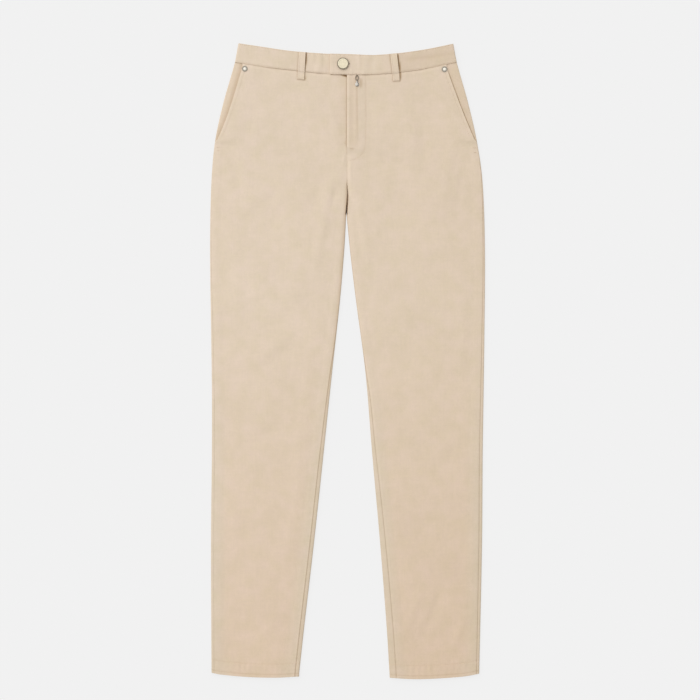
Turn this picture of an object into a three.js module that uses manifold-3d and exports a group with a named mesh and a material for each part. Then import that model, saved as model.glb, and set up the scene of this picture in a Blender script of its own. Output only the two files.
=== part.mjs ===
// Chino trousers, laid flat on their back with the front up.
// Millimetres, +Z up: the waist points to +Y and the wearer's left is +X. The origin is the middle
// of the rectangle that the garment covers, on the surface it lies on.
import * as THREE from "three";
import { mergeVertices } from "three/addons/utils/BufferGeometryUtils.js";
import Module from "manifold-3d";

const wasm = await Module();
wasm.setup();

// Driving dimensions
const LENGTH = 1081.6; // from the waist's side corners to the lowest point of a hem
const CLOTH = 1.2; // wall of a panel
const BAND_CLOTH = 2.2; // wall of the waistband: two layers with an interlining
const LOOP_CLOTH = 1.3; // a belt loop, folded and sewn flat
const GAP = 0.3; // between two pieces at a seam
const MIDDLE_X = 0.95; // middle of the outline, from the line that every other X starts from
const CENTRE_X = -0.2; // centre seam, above the crotch
const WAIST_ROW = 43; // row of the waistband seam, as a mean drop below the waist corners
const HEM_ROW = 1077; // row of the hems' edges
const HEM_DEPTH = 23; // from a hem's edge up to its stitching
const EDGE_BLEND = 120; // length over which rows straighten out below the waist and above the hems
const CROTCH_DROP = 262; // where the four seams meet
const GROOVE_DROP = 225; // where the panels begin to dip towards the crotch
const LEGS_PART_DROP = 289; // where the two thighs stop touching
const FLY_DROP = 178; // foot of the fly
const FLY_UNDERLAP = 13; // right front under the left one
const FLY_FOOT = { from: 12, to: 4 }; // above the fly's foot, where the underlap narrows to the seam
const FLY_RISE = { from: 16, to: 42 }; // the left front comes down between these distances from X = 0
const OVERLAP_END = 12; // length over which a raised edge comes down below the fly and the pocket mouth
const MOUTH_DROP = 163; // lower end of a pocket mouth
const MOUTH_END = 8; // length over which the front's edge goes from the mouth to the side seam
const FACING_UNDERLAP = 12; // pocket facing under the front
const MOUTH_RISE = 50; // the front comes down between the facing's edge and this far from the mouth
const FOLD_HEIGHT = 4.6; // a leg's height at its folded edges
const CROWN = { leg: 0.9, waist: 0.2, fade: 45 }; // the front's rise between the folded edges
const BACK_LIFT = 1.6; // the waist's back rides on the belt loops beneath it
const WAIST_FOLD_TOP = 5.7; // top of the folded edge just below the waistband
const LIFT_DROP = { level: 64, floor: 104 }; // the back comes down to the surface between these
const BAND_TOP = 7.4; // waistband's height over the surface
const BAND_EDGE = { round: 0.5, share: 0.06 }; // its rounded edges, as a share of its width
const BAND_END = { right: 14, left: -29 }; // X of the two band ends at the centre front
const TUCK = 0.9; // the right end of the band sinks this much under the left one
const TUCK_X = { from: -50, to: -33 };
const RIDE_X = { to: 22, from: 50 }; // the left end rises over the right one between these
const LOOP_WIDTH = 11.4;
const LOOP_TAIL = 14; // loop below the waistband seam
const LOOP_BOW = 1.3; // slack of a front loop over the band

// Half widths and inner edges, as distances from X = 0, at drops below the waist corners
const OUTLINE = [
  { drop: 0, rightOuter: 184.6, leftOuter: 180.6 },
  { drop: 35, rightOuter: 191.3, leftOuter: 187.4 },
  { drop: 100, rightOuter: 210, leftOuter: 205.8 },
  { drop: 165, rightOuter: 224.2, leftOuter: 220.7 },
  { drop: 235, rightOuter: 230.6, leftOuter: 230.6 },
  { drop: 350, rightOuter: 233, leftOuter: 234.8 },
  { drop: 500, rightOuter: 231, leftOuter: 233.8 },
  { drop: 607, rightOuter: 229.8, leftOuter: 232.3 },
  { drop: 700, rightOuter: 230, leftOuter: 230.9 },
  { drop: 850, rightOuter: 231.4, leftOuter: 229.8 },
  { drop: 1072, rightOuter: 230.5, leftOuter: 225 },
];
const INSIDE_LEG = [
  { drop: LEGS_PART_DROP, right: 1.2, left: -0.9 },
  { drop: 350, right: 4.5, left: 4.9 },
  { drop: 437, right: 11.9, left: 15.2 },
  { drop: 560, right: 25.3, left: 31.4 },
  { drop: 700, right: 40, left: 43 },
  { drop: 850, right: 56.1, left: 56.3 },
  { drop: 1000, right: 73.5, left: 68 },
  { drop: 1072, right: 81.4, left: 72.5 },
];
const WAIST_TOP = [
  { x: -190, drop: -0.2 },
  { x: -142.8, drop: 6.8 },
  { x: -96, drop: 13.6 },
  { x: -40, drop: 18 },
  { x: 3, drop: 19.2 },
  { x: 43, drop: 20.6 },
  { x: 90.1, drop: 17.1 },
  { x: 134.3, drop: 10.8 },
  { x: 187, drop: 0 },
];
const WAIST_SEAM = [
  { x: -192, drop: 32.7 },
  { x: -147, drop: 40.2 },
  { x: -96, drop: 46.2 },
  { x: -40, drop: 52.2 },
  { x: 0, drop: 54.3 },
  { x: 34, drop: 54.2 },
  { x: 68, drop: 52.2 },
  { x: 98, drop: 49.2 },
  { x: 132, drop: 44.4 },
  { x: 169, drop: 36.8 },
  { x: 188, drop: 32.4 },
];
const HEM_EDGE = [
  { x: -231, drop: 1070.8 },
  { x: -212, drop: 1074 },
  { x: -165, drop: 1078 },
  { x: -118, drop: 1078.9 },
  { x: -82, drop: 1077.4 },
  { x: 71, drop: 1079.4 },
  { x: 108, drop: 1081.4 },
  { x: 145, drop: 1080.8 },
  { x: 199, drop: 1077 },
  { x: 225, drop: 1072.4 },
];
// Pocket mouths, as distances from X = 0
const MOUTH = [
  { drop: 49, right: 177.8, left: 169.4 },
  { drop: 75, right: 185.8, left: 178.5 },
  { drop: 100, right: 194, left: 188.3 },
  { drop: 132, right: 206.3, left: 202.4 },
  { drop: 174, right: 224.6, left: 221.5 },
];
// The centre seam leans to the wearer's left above the crotch, and back where the thighs part
const CENTRE_LINE = [
  { drop: 0, x: CENTRE_X },
  { drop: 225, x: CENTRE_X },
  { drop: 245, x: 0.5 },
  { drop: 258, x: 1 },
  { drop: 272, x: 0.3 },
  { drop: LEGS_PART_DROP, x: -1.05 },
];
// How far each seam lies past the folded edge, round the fold and over the front
const SIDE_SEAM = [
  { drop: 174, right: 0, left: 0 },
  { drop: 267, right: 2, left: 3.6 },
  { drop: 437, right: 4.2, left: 5.2 },
  { drop: 692, right: 6.2, left: 7 },
  { drop: 1077, right: 6, left: 6.3 },
];
const INSEAM = [
  { drop: 380, right: 0, left: 0 },
  { drop: 440, right: 0.6, left: 0 },
  { drop: 520, right: 2.6, left: 0.6 },
  { drop: 560, right: 4.4, left: 2.6 },
  { drop: 607, right: 5.8, left: 5.6 },
  { drop: 692, right: 7.4, left: 7.6 },
  { drop: 777, right: 7.9, left: 9.8 },
  { drop: 947, right: 8.2, left: 12 },
  { drop: 1077, right: 8.4, left: 13 },
];
// The largest folds of the front: ridges rise and troughs sink from one end to the other
const FOLDS = [
  { x0: -6, drop0: 200, x1: -50, drop1: 330, width: 11, rise: 1.2 },
  { x0: -34, drop0: 205, x1: -76, drop1: 320, width: 11, rise: -0.9 },
  { x0: 8, drop0: 205, x1: 30, drop1: 370, width: 10, rise: 1.2 },
  { x0: 20, drop0: 196, x1: 62, drop1: 240, width: 10, rise: -0.8 },
  { x0: -120, drop0: 215, x1: -132, drop1: 300, width: 13, rise: -0.8 },
  { x0: -48, drop0: 430, x1: -104, drop1: 1000, width: 14, rise: 0.6 },
  { x0: 152, drop0: 930, x1: 122, drop1: 1020, width: 12, rise: 0.7 },
  { x0: -90, drop0: 70, x1: -22, drop1: 138, width: 10, rise: 0.5 },
];
// Shares of a fold's length: it grows up to the first and fades from the second
const FOLD_TAPER = { in: 0.4, out: 0.5 };
// Rows of a panel from the waist to the hem, closer where the shape turns
const ROW_SPANS = [
  { upTo: MOUTH_DROP, steps: 6 },
  { upTo: 190, steps: 3 },
  { upTo: CROTCH_DROP, steps: 5 },
  { upTo: LEGS_PART_DROP, steps: 2 },
  { upTo: 560, steps: 5 },
  { upTo: HEM_ROW - HEM_DEPTH, steps: 5 },
  { upTo: HEM_ROW, steps: 1 },
];
// Columns of a panel: distances from each edge, then even steps between
const FRONT_COLUMNS = { edges: [0, 1, 3.2, 7, 13], steps: 12 };
const BACK_COLUMNS = { roll: 5, steps: 7 };
const FACING_COLUMNS = { steps: 8, crowding: 1.3 };
const BAND_COLUMNS = { back: 8, fold: 6, front: 14 };
// Shares of the band's width at which a belt loop is bent
const LOOP_STOPS = [0.01, 0.25, 0.5, 0.75, 0.97];
// Points of the line that a section follows
const PATH = { arcSteps: 12, stretchSteps: 80, overFront: 20, normalReach: 0.35 };
// Belt loops: X of their centre line at the waist's edge and at their foot
const LOOPS = [
  { name: "belt_loop_front_right", face: "front", topX: -75.8, footX: -78.4 },
  { name: "belt_loop_front_left", face: "front", topX: 79.1, footX: 84.2 },
  { name: "belt_loop_back_right", face: "back", topX: -98, footX: -98 },
  { name: "belt_loop_back_center", face: "back", topX: CENTRE_X, footX: CENTRE_X },
  { name: "belt_loop_back_left", face: "back", topX: 96, footX: 96 },
];
const LEGS = [
  { name: "right", side: -1 },
  { name: "left", side: 1 },
];

const BUTTON = { x: -6.8, drop: 36.2, rim: 10, face: 8.7, height: 3, lip: 0.9, shank: 1.2 };
const BUTTONHOLE = { from: -11.5, to: 5, width: 3.2 };
const RIVETS = [
  { name: "rivet_right", x: -173.6, drop: 44.2 },
  { name: "rivet_left", x: 165.6, drop: 45 },
];
const RIVET = { radius: 4.9, height: 1.5 };
// The charm: an eye sewn to the fly, a wire ring through it and a flat drop on the ring
const CHARM = { x: 17, eyeDrop: 56.3, wire: 0.45, lift: 1.9 };
const RING = { length: 7.2, width: 4.6, corner: 1.6 };
const DROP = { length: 10.2, width: 6.6, neck: 2, thickness: 1.2, eye: 1.2, eyeWire: 0.38, top: 0.85 };

const MATERIALS = {
  twill: new THREE.MeshStandardMaterial({ color: 0xd9c4a8, roughness: 0.92, metalness: 0 }),
  pocket: new THREE.MeshStandardMaterial({ color: 0xd2bb9c, roughness: 0.92, metalness: 0 }),
  rim: new THREE.MeshStandardMaterial({ color: 0x6f6357, roughness: 0.4, metalness: 1 }),
  ivory: new THREE.MeshStandardMaterial({ color: 0xe9e2d2, roughness: 0.45, metalness: 0 }),
  silver: new THREE.MeshStandardMaterial({ color: 0xb9b9b6, roughness: 0.3, metalness: 1 }),
};

const { cos, sin, PI, min, max, hypot } = Math;
const lerp = THREE.MathUtils.lerp;
const ease = THREE.MathUtils.smoothstep;

// A smooth curve through one column of a table, as a function of another
function curve(rows, by, column) {
  const slope = rows.map((row, k) => {
    const before = rows[max(k - 1, 0)];
    const after = rows[min(k + 1, rows.length - 1)];
    return (after[column] - before[column]) / (after[by] - before[by]);
  });
  return (at) => {
    const clamped = min(max(at, rows[0][by]), rows[rows.length - 1][by]);
    const k = max(rows.findIndex((row) => row[by] >= clamped), 1) - 1;
    const span = rows[k + 1][by] - rows[k][by];
    const t = (clamped - rows[k][by]) / span;
    const rise = rows[k + 1][column] - rows[k][column];
    const start = slope[k] * span - rise;
    const end = rise - slope[k + 1] * span;
    return rows[k][column] + rise * t + t * (1 - t) * (start * (1 - t) + end * t);
  };
}

const waistTop = curve(WAIST_TOP, "x", "drop");
const waistSeam = curve(WAIST_SEAM, "x", "drop");
const hemEdge = curve(HEM_EDGE, "x", "drop");
for (const leg of LEGS) {
  leg.outline = curve(OUTLINE, "drop", leg.name + "Outer");
  leg.insideLeg = curve(INSIDE_LEG, "drop", leg.name);
  leg.mouth = curve(MOUTH, "drop", leg.name);
  leg.sideSeam = curve(SIDE_SEAM, "drop", leg.name);
  leg.inseam = curve(INSEAM, "drop", leg.name);
}

// The drop of a panel's row at x: rows follow the waist seam and the hems, and are straight between
function rowDrop(row, x) {
  const nearWaist = 1 - ease(row, WAIST_ROW, WAIST_ROW + EDGE_BLEND);
  const nearHem = ease(row, HEM_ROW - EDGE_BLEND, HEM_ROW);
  return row + (waistSeam(x) - WAIST_ROW) * nearWaist + (hemEdge(x) - HEM_ROW) * nearHem;
}

const yOf = (drop) => LENGTH / 2 - drop;

// Height of the folds at a place on the front
function foldRise(x, drop) {
  let rise = 0;
  for (const fold of FOLDS) {
    const dx = fold.x1 - fold.x0;
    const dd = fold.drop1 - fold.drop0;
    const length = hypot(dx, dd);
    const along = ((x - fold.x0) * dx + (drop - fold.drop0) * dd) / length;
    const across = ((x - fold.x0) * dd - (drop - fold.drop0) * dx) / length;
    const taper = ease(along, 0, length * FOLD_TAPER.in) * (1 - ease(along, length * FOLD_TAPER.out, length));
    rise += fold.rise * taper * Math.exp(-((across / fold.width) ** 2));
  }
  return rise;
}

// X of the centre seam at a row
const centreX = curve(CENTRE_LINE, "drop", "x");

// Section of one leg at a row. u is the distance from X = 0 towards the leg's own side.
function section(leg, row) {
  const sideX = leg.side * leg.outline(row);
  const outer = leg.outline(rowDrop(row, sideX));
  const centre = leg.side * centreX(row) + GAP / 2;
  const inner = row < LEGS_PART_DROP ? centre : leg.insideLeg(row);
  const atWaist = 1 - ease(row, LIFT_DROP.level, LIFT_DROP.floor);
  const bottom = BACK_LIFT * atWaist;
  const foldTop = lerp(FOLD_HEIGHT, WAIST_FOLD_TOP, atWaist);
  const radius = (foldTop - bottom) / 2;
  const crown = lerp(CROWN.leg, CROWN.waist, atWaist);
  const dip = ease(row, GROOVE_DROP, CROTCH_DROP);
  return { row, outer, inner, bottom, foldTop, radius, crown, dip };
}

// Height of the front's surface over a section, from fold to fold
function frontHeight(leg, cut, u) {
  const fromOuter = ease(cut.outer - cut.radius - u, 0, CROWN.fade);
  const fromInner = lerp(1, ease(u - cut.inner - cut.radius, 0, CROWN.fade), cut.dip);
  const x = leg.side * u;
  const folds = foldRise(x, rowDrop(cut.row, x)) * min(fromOuter, fromInner);
  return cut.foldTop + cut.crown * fromOuter * fromInner + folds;
}

// How far the front stands off what lies under it at the pocket mouth and at the fly
function overlapRise(leg, cut, u) {
  const step = CLOTH + GAP;
  const atMouth = 1 - ease(cut.row, MOUTH_DROP, MOUTH_DROP + OVERLAP_END);
  const mouth = step * atMouth * (1 - ease(leg.mouth(cut.row) - u, FACING_UNDERLAP, MOUTH_RISE));
  if (leg.side < 0) return mouth;
  const aboveFlyFoot = 1 - ease(cut.row, FLY_DROP, FLY_DROP + OVERLAP_END);
  return mouth + step * aboveFlyFoot * (1 - ease(u, FLY_RISE.from, FLY_RISE.to));
}

// An arc of a fold, from one angle to another (0 is outward, 90 is up), in the plane of a section
function arc(centreU, centreZ, radius, fromDeg, toDeg, outward) {
  return Array.from({ length: PATH.arcSteps + 1 }, (_, k) => {
    const angle = (lerp(fromDeg, toDeg, k / PATH.arcSteps) * PI) / 180;
    return { u: centreU + outward * radius * cos(angle), z: centreZ + radius * sin(angle) };
  });
}

function stretch(fromU, toU, height) {
  return Array.from({ length: PATH.stretchSteps - 1 }, (_, k) => {
    const u = lerp(fromU, toU, (k + 1) / PATH.stretchSteps);
    return { u, z: height(u) };
  });
}

// The path over the front, from the outer fold's rim to the inner edge
function frontPath(leg, row, innerU, rise) {
  const cut = section(leg, row);
  const { outer, radius, bottom, dip } = cut;
  const height = (u) => frontHeight(leg, cut, u) + rise(leg, cut, u);
  const lift = rise(leg, cut, outer - radius);
  const rolled = dip * 90;
  const turnU = innerU(cut) + radius * sin((rolled * PI) / 180);
  const turnZ = height(turnU) - radius;
  return [
    ...arc(outer - radius, bottom + radius + lift, radius, 0, 90, 1),
    ...stretch(outer - radius, turnU, height),
    ...arc(turnU, turnZ, radius, 90, 90 - rolled, -1),
  ];
}

// The path of the back, from the inner fold's top, under the leg and up the outer fold to the front
function backPath(leg, row) {
  const cut = section(leg, row);
  const { outer, inner, radius, bottom, dip } = cut;
  const height = (u) => frontHeight(leg, cut, u);
  const mid = bottom + radius;
  const round = [
    ...stretch(inner + radius + PATH.overFront, inner + radius, height),
    ...arc(inner + radius, mid, radius, 90, -90, -1),
  ];
  const flatFrom = inner + radius * sin((dip * PI) / 2);
  const under = arc(flatFrom, mid, radius, -90 + 90 * dip, -90, -1);
  return [
    ...(dip < 1 ? under : round),
    ...stretch(flatFrom, outer - radius, () => bottom),
    ...arc(outer - radius, mid, radius, -90, 90, 1),
    ...stretch(outer - radius, outer - radius - PATH.overFront, height),
  ];
}

// Distances along a path
function measured(path) {
  const at = [0];
  for (let k = 1; k < path.length; k++) {
    at.push(at[k - 1] + hypot(path[k].u - path[k - 1].u, path[k].z - path[k - 1].z));
  }
  return { path, at, length: at[at.length - 1] };
}

// The point of a path at a distance along it, with the direction that faces out of the cloth
function pointAt({ path, at, length }, distance) {
  const place = (where) => {
    const s = min(max(where, 0), length);
    const k = min(max(at.findIndex((value) => value >= s), 1), path.length - 1);
    const t = (s - at[k - 1]) / (at[k] - at[k - 1] || 1);
    return { u: lerp(path[k - 1].u, path[k].u, t), z: lerp(path[k - 1].z, path[k].z, t) };
  };
  const a = place(distance - PATH.normalReach);
  const b = place(distance + PATH.normalReach);
  const span = hypot(b.u - a.u, b.z - a.z);
  return { ...place(distance), nu: (b.z - a.z) / span, nz: -(b.u - a.u) / span };
}

// A distance along the path of the point nearest to a place
function distanceTo({ path, at }, test) {
  return at[path.findIndex(test)];
}

// Columns across a piece: close at each edge, even between
function columns(from, to, { edges, steps }) {
  const total = to - from;
  const near = edges.filter((distance) => distance < total / 2);
  const left = near.map((distance) => from + distance);
  const right = near.map((distance) => to - distance).reverse();
  const a = left[left.length - 1];
  const b = right[0];
  const between = Array.from({ length: steps - 1 }, (_, k) => lerp(a, b, (k + 1) / steps));
  return [...left, ...between, ...right];
}

// A closed sheet of cloth between a grid of outer points and the same grid moved in by the wall
function sheet(grid) {
  const rows = grid.length;
  const wide = grid[0].length;
  const position = [];
  for (const layer of ["out", "in"]) {
    for (const row of grid) for (const cell of row) position.push(...cell[layer]);
  }
  const index = [];
  const id = (layer, i, j) => (layer * rows + i) * wide + j;
  const quad = (a, b, c, d) => index.push(a, b, c, a, c, d);
  for (let i = 0; i < rows - 1; i++) {
    for (let j = 0; j < wide - 1; j++) {
      quad(id(0, i, j), id(0, i, j + 1), id(0, i + 1, j + 1), id(0, i + 1, j));
      quad(id(1, i, j), id(1, i + 1, j), id(1, i + 1, j + 1), id(1, i, j + 1));
    }
  }
  for (let j = 0; j < wide - 1; j++) {
    quad(id(0, 0, j), id(1, 0, j), id(1, 0, j + 1), id(0, 0, j + 1));
    quad(id(0, rows - 1, j), id(0, rows - 1, j + 1), id(1, rows - 1, j + 1), id(1, rows - 1, j));
  }
  for (let i = 0; i < rows - 1; i++) {
    quad(id(0, i, 0), id(0, i + 1, 0), id(1, i + 1, 0), id(1, i, 0));
    quad(id(0, i, wide - 1), id(1, i, wide - 1), id(1, i + 1, wide - 1), id(0, i + 1, wide - 1));
  }
  const geometry = new THREE.BufferGeometry();
  geometry.setAttribute("position", new THREE.Float32BufferAttribute(position, 3));
  geometry.setIndex(facingOut(position, index));
  geometry.computeVertexNormals();
  return geometry;
}

// The same triangles, turned over if they enclose a negative volume
function facingOut(position, index) {
  const corner = (k) => new THREE.Vector3().fromArray(position, 3 * index[k]);
  let volume = 0;
  for (let k = 0; k < index.length; k += 3) volume += corner(k).dot(corner(k + 1).cross(corner(k + 2)));
  return volume > 0 ? index : index.slice().reverse();
}

function cell(leg, row, point, wall) {
  const place = (u, z) => [leg.side * u, yOf(rowDrop(row, leg.side * u)), z];
  return {
    out: place(point.u, point.z),
    in: place(point.u - wall * point.nu, point.z - wall * point.nz),
  };
}

function panelRows(lastRow) {
  const rows = [WAIST_ROW + GAP / 2];
  let from = WAIST_ROW;
  for (const span of ROW_SPANS) {
    for (let k = 1; k <= span.steps; k++) rows.push(lerp(from, span.upTo, k / span.steps));
    from = span.upTo;
  }
  return rows.filter((row) => row <= lastRow + GAP);
}

// How far round the fold the front starts: at the pocket mouth, and below it at the side seam
function frontStart(leg, row) {
  const cut = section(leg, row);
  const turned = (PI / 2 - 1) * cut.radius;
  const atMouth = cut.outer - leg.mouth(row) + turned;
  return lerp(atMouth, leg.sideSeam(row), ease(row, MOUTH_DROP, MOUTH_DROP + MOUTH_END));
}

function frontInner(leg) {
  return (cut) => {
    if (leg.side > 0) return cut.inner;
    const under = 1 - ease(cut.row, FLY_DROP - FLY_FOOT.from, FLY_DROP - FLY_FOOT.to);
    return lerp(cut.inner, -FLY_UNDERLAP, under);
  };
}

function front(leg) {
  return sheet(
    panelRows(HEM_ROW).map((row) => {
      const line = measured(frontPath(leg, row, frontInner(leg), overlapRise));
      const from = frontStart(leg, row) + GAP / 2;
      const seam = row < CROTCH_DROP ? 0 : GAP / 2;
      const to = line.length - seam - (row > CROTCH_DROP ? leg.inseam(row) : 0);
      return columns(from, to, FRONT_COLUMNS).map((s) => cell(leg, row, pointAt(line, s), CLOTH));
    }),
  );
}

function back(leg) {
  return sheet(
    panelRows(HEM_ROW).map((row) => {
      const cut = section(leg, row);
      const line = measured(backPath(leg, row));
      const flatFrom = cut.inner + cut.radius * sin((cut.dip * PI) / 2);
      const flatStart = distanceTo(line, (p) => p.z <= cut.bottom + 1e-6 && p.u >= flatFrom - 1e-6);
      const rim = line.length - PATH.overFront - (PI / 2) * cut.radius;
      const flatEnd = rim - (PI / 2) * cut.radius;
      const inside = cut.dip < 1 ? 0 : flatStart - (PI / 2) * cut.radius - leg.inseam(row) + GAP / 2;
      const end = rim + leg.sideSeam(row) - GAP / 2;
      const { roll, steps } = BACK_COLUMNS;
      const at = [];
      for (let k = 0; k < roll; k++) at.push(lerp(inside, flatStart, k / roll));
      for (let k = 0; k < steps; k++) at.push(lerp(flatStart, flatEnd, k / steps));
      for (let k = 0; k <= roll; k++) at.push(lerp(flatEnd, end, k / roll));
      return at.map((s) => cell(leg, row, pointAt(line, s), CLOTH));
    }),
  );
}

// The facing fills the pocket mouth out to the side seam and runs on under the front
function pocketFacing(leg) {
  return sheet(
    panelRows(MOUTH_DROP).map((row) => {
      const line = measured(frontPath(leg, row, (cut) => cut.inner, () => 0));
      const from = GAP / 2;
      const to = frontStart(leg, row) + FACING_UNDERLAP;
      const { steps, crowding } = FACING_COLUMNS;
      const at = Array.from({ length: steps + 1 }, (_, k) => lerp(from, to, (k / steps) ** crowding));
      return at.map((s) => cell(leg, row, pointAt(line, s), CLOTH));
    }),
  );
}

// Height of the front's surface, overlaps included, at a place on it
function surface(x, drop) {
  const leg = LEGS.find(({ side }) => side === (x < CENTRE_X ? -1 : 1));
  let row = drop;
  for (let k = 0; k < 5; k++) row = drop - (rowDrop(row, x) - row);
  const cut = section(leg, row);
  return frontHeight(leg, cut, leg.side * x) + overlapRise(leg, cut, leg.side * x);
}

// The waistband's height at x, where one end lies over the other
function bandHeight(leg, x) {
  if (leg.side < 0) return BAND_TOP - TUCK * ease(x, TUCK_X.from, TUCK_X.to);
  return BAND_TOP + (BAND_CLOTH + GAP - TUCK) * (1 - ease(x, RIDE_X.to, RIDE_X.from));
}

// A row of the waistband, from 0 at its top edge to 1 at its seam
function bandDrop(x, v) {
  return lerp(waistTop(x), waistSeam(x) - GAP / 2, v);
}

function bandPath(leg, v) {
  const radius = (BAND_TOP - BACK_LIFT) / 2;
  const middle = leg.side * leg.outline(bandDrop(leg.side * leg.outline(0), v));
  const outer = leg.outline(bandDrop(middle, v));
  const centre = leg.side * CENTRE_X + GAP / 2;
  return {
    radius,
    line: measured([
      { u: centre, z: BACK_LIFT },
      ...stretch(centre, outer - radius, () => BACK_LIFT),
      ...arc(outer - radius, BACK_LIFT + radius, radius, -90, 90, 1),
      ...stretch(outer - radius, leg.side * BAND_END[leg.name], (u) => bandHeight(leg, leg.side * u)),
      { u: leg.side * BAND_END[leg.name], z: bandHeight(leg, BAND_END[leg.name]) },
    ]),
  };
}

// Half of the waistband: from the centre back round the side to its end at the centre front
function waistband(leg) {
  const steps = BAND_COLUMNS;
  return sheet(
    [0, BAND_EDGE.share, 1 - BAND_EDGE.share, 1].map((v) => {
      const { radius, line } = bandPath(leg, v);
      const foldEnd = distanceTo(line, (p) => p.z >= BAND_TOP - 1e-6);
      const foldStart = foldEnd - PI * radius;
      const at = [];
      for (let k = 0; k < steps.back; k++) at.push(lerp(0, foldStart, k / steps.back));
      for (let k = 0; k < steps.fold; k++) at.push(lerp(foldStart, foldEnd, k / steps.fold));
      for (let k = 0; k <= steps.front; k++) at.push(lerp(foldEnd, line.length, k / steps.front));
      const round = v === 0 || v === 1 ? BAND_EDGE.round : 0;
      return at.map((s) => {
        const { u, z, nu, nz } = pointAt(line, s);
        const place = (depth) => {
          const x = leg.side * (u - depth * nu);
          return [x, yOf(bandDrop(x, v)), z - depth * nz];
        };
        return { out: place(round), in: place(BAND_CLOTH) };
      });
    }),
  );
}

// A belt loop: from the band's top edge down its face, and a tail on the panel below.
// Its cross-lines follow the band's rows and the seam.
function beltLoop({ face, topX, footX }) {
  const up = face === "front" ? 1 : -1;
  const base = face === "front" ? BAND_TOP : BACK_LIFT;
  const off = GAP + LOOP_CLOTH / 2;
  const tail = face === "front" ? surface(footX, waistSeam(footX) + LOOP_TAIL) - BAND_TOP : 0;
  const bow = face === "front" ? LOOP_BOW : 0;
  const route = [
    ...LOOP_STOPS.map((v) => ({ line: (x) => bandDrop(x, v), past: 0, h: off + bow * sin(PI * v) })),
    { line: waistSeam, past: 2.4, h: off + tail },
    { line: waistSeam, past: LOOP_TAIL, h: off + tail },
  ];
  const drops = route.map(({ line, past }) => line(topX) + past);
  return sheet(
    route.map(({ line, past, h }, k) => {
      const before = max(k - 1, 0);
      const after = min(k + 1, route.length - 1);
      const run = hypot(drops[after] - drops[before], route[after].h - route[before].h);
      const n = { drop: -(route[after].h - route[before].h) / run, h: (drops[after] - drops[before]) / run };
      const centre = lerp(topX, footX, (drops[k] - drops[0]) / (drops[route.length - 1] - drops[0]));
      return [centre - LOOP_WIDTH / 2, centre + LOOP_WIDTH / 2].map((x) => {
        const place = (depth) => [x, yOf(line(x) + past + depth * n.drop), base + up * (h + depth * n.h)];
        return { out: place(LOOP_CLOTH / 2), in: place(-LOOP_CLOTH / 2) };
      });
    }),
  );
}

// A body turned about a vertical axis, from its profile of radius and height
function turned(profile, segments) {
  const points = profile.map(([radius, height]) => new THREE.Vector2(radius, height));
  return new THREE.LatheGeometry(points, segments).rotateX(PI / 2);
}

// A three.js geometry as a solid for cutting and joining, and back again
function toSolid(geometry) {
  const bare = geometry.clone();
  for (const name of Object.keys(bare.attributes)) if (name !== "position") bare.deleteAttribute(name);
  const welded = mergeVertices(bare, 1e-4);
  const vertProperties = new Float32Array(welded.attributes.position.array);
  const triVerts = new Uint32Array(welded.index ? welded.index.array : bare.index.array);
  return new wasm.Manifold(new wasm.Mesh({ numProp: 3, vertProperties, triVerts }));
}

function toGeometry(solid) {
  const mesh = solid.getMesh();
  const geometry = new THREE.BufferGeometry();
  geometry.setAttribute("position", new THREE.BufferAttribute(new Float32Array(mesh.vertProperties), 3));
  geometry.setIndex(new THREE.BufferAttribute(new Uint32Array(mesh.triVerts), 1));
  geometry.computeVertexNormals();
  return geometry;
}

// The buttonhole, as the body that cuts it
function buttonhole() {
  const { from, to, width } = BUTTONHOLE;
  const half = width / 2;
  const y = yOf(BUTTON.drop);
  const slot = new THREE.Shape();
  slot.absarc(from + half, y, half, PI / 2, 1.5 * PI);
  slot.absarc(to - half, y, half, -PI / 2, PI / 2);
  const depth = 2 * BAND_CLOTH + 1;
  return new THREE.ExtrudeGeometry(slot, { depth, bevelEnabled: false, curveSegments: 6 }).translate(
    0,
    0,
    BAND_TOP - BAND_CLOTH,
  );
}

// The button's rim, with the shank that goes through the buttonhole to the band below
function buttonRim() {
  const { rim, face, height, lip, shank } = BUTTON;
  const recess = face + GAP;
  const foot = bandHeight(LEGS[0], BUTTON.x) - bandHeight(LEGS[1], BUTTON.x);
  return turned(
    [
      [0, foot],
      [shank, foot],
      [shank, 0],
      [rim - 1.2, 0],
      [rim - 0.3, 0.5],
      [rim, height / 2],
      [rim - 0.3, height - 0.5],
      [rim - 0.6, height - 0.1],
      [recess, height - 0.3],
      [recess, lip],
      [0, lip],
    ],
    24,
  );
}

function buttonFace() {
  const { face, height, lip } = BUTTON;
  return turned(
    [
      [0, lip + GAP],
      [face, lip + GAP],
      [face, height - 0.4],
      [face - 0.7, height],
      [face - 2.2, height + 0.1],
      [face - 2.6, height - 0.15],
      [face - 3.2, height - 0.15],
      [0, height - 0.05],
    ],
    24,
  );
}

function rivet() {
  const { radius, height } = RIVET;
  return turned(
    [
      [0, 0],
      [radius, 0],
      [radius, 0.4 * height],
      [0.84 * radius, 0.8 * height],
      [0.6 * radius, 0.75 * height],
      [0.5 * radius, 0.5 * height],
      [0.42 * radius, 0.9 * height],
      [0.2 * radius, height],
      [0, height],
    ],
    16,
  );
}

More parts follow.
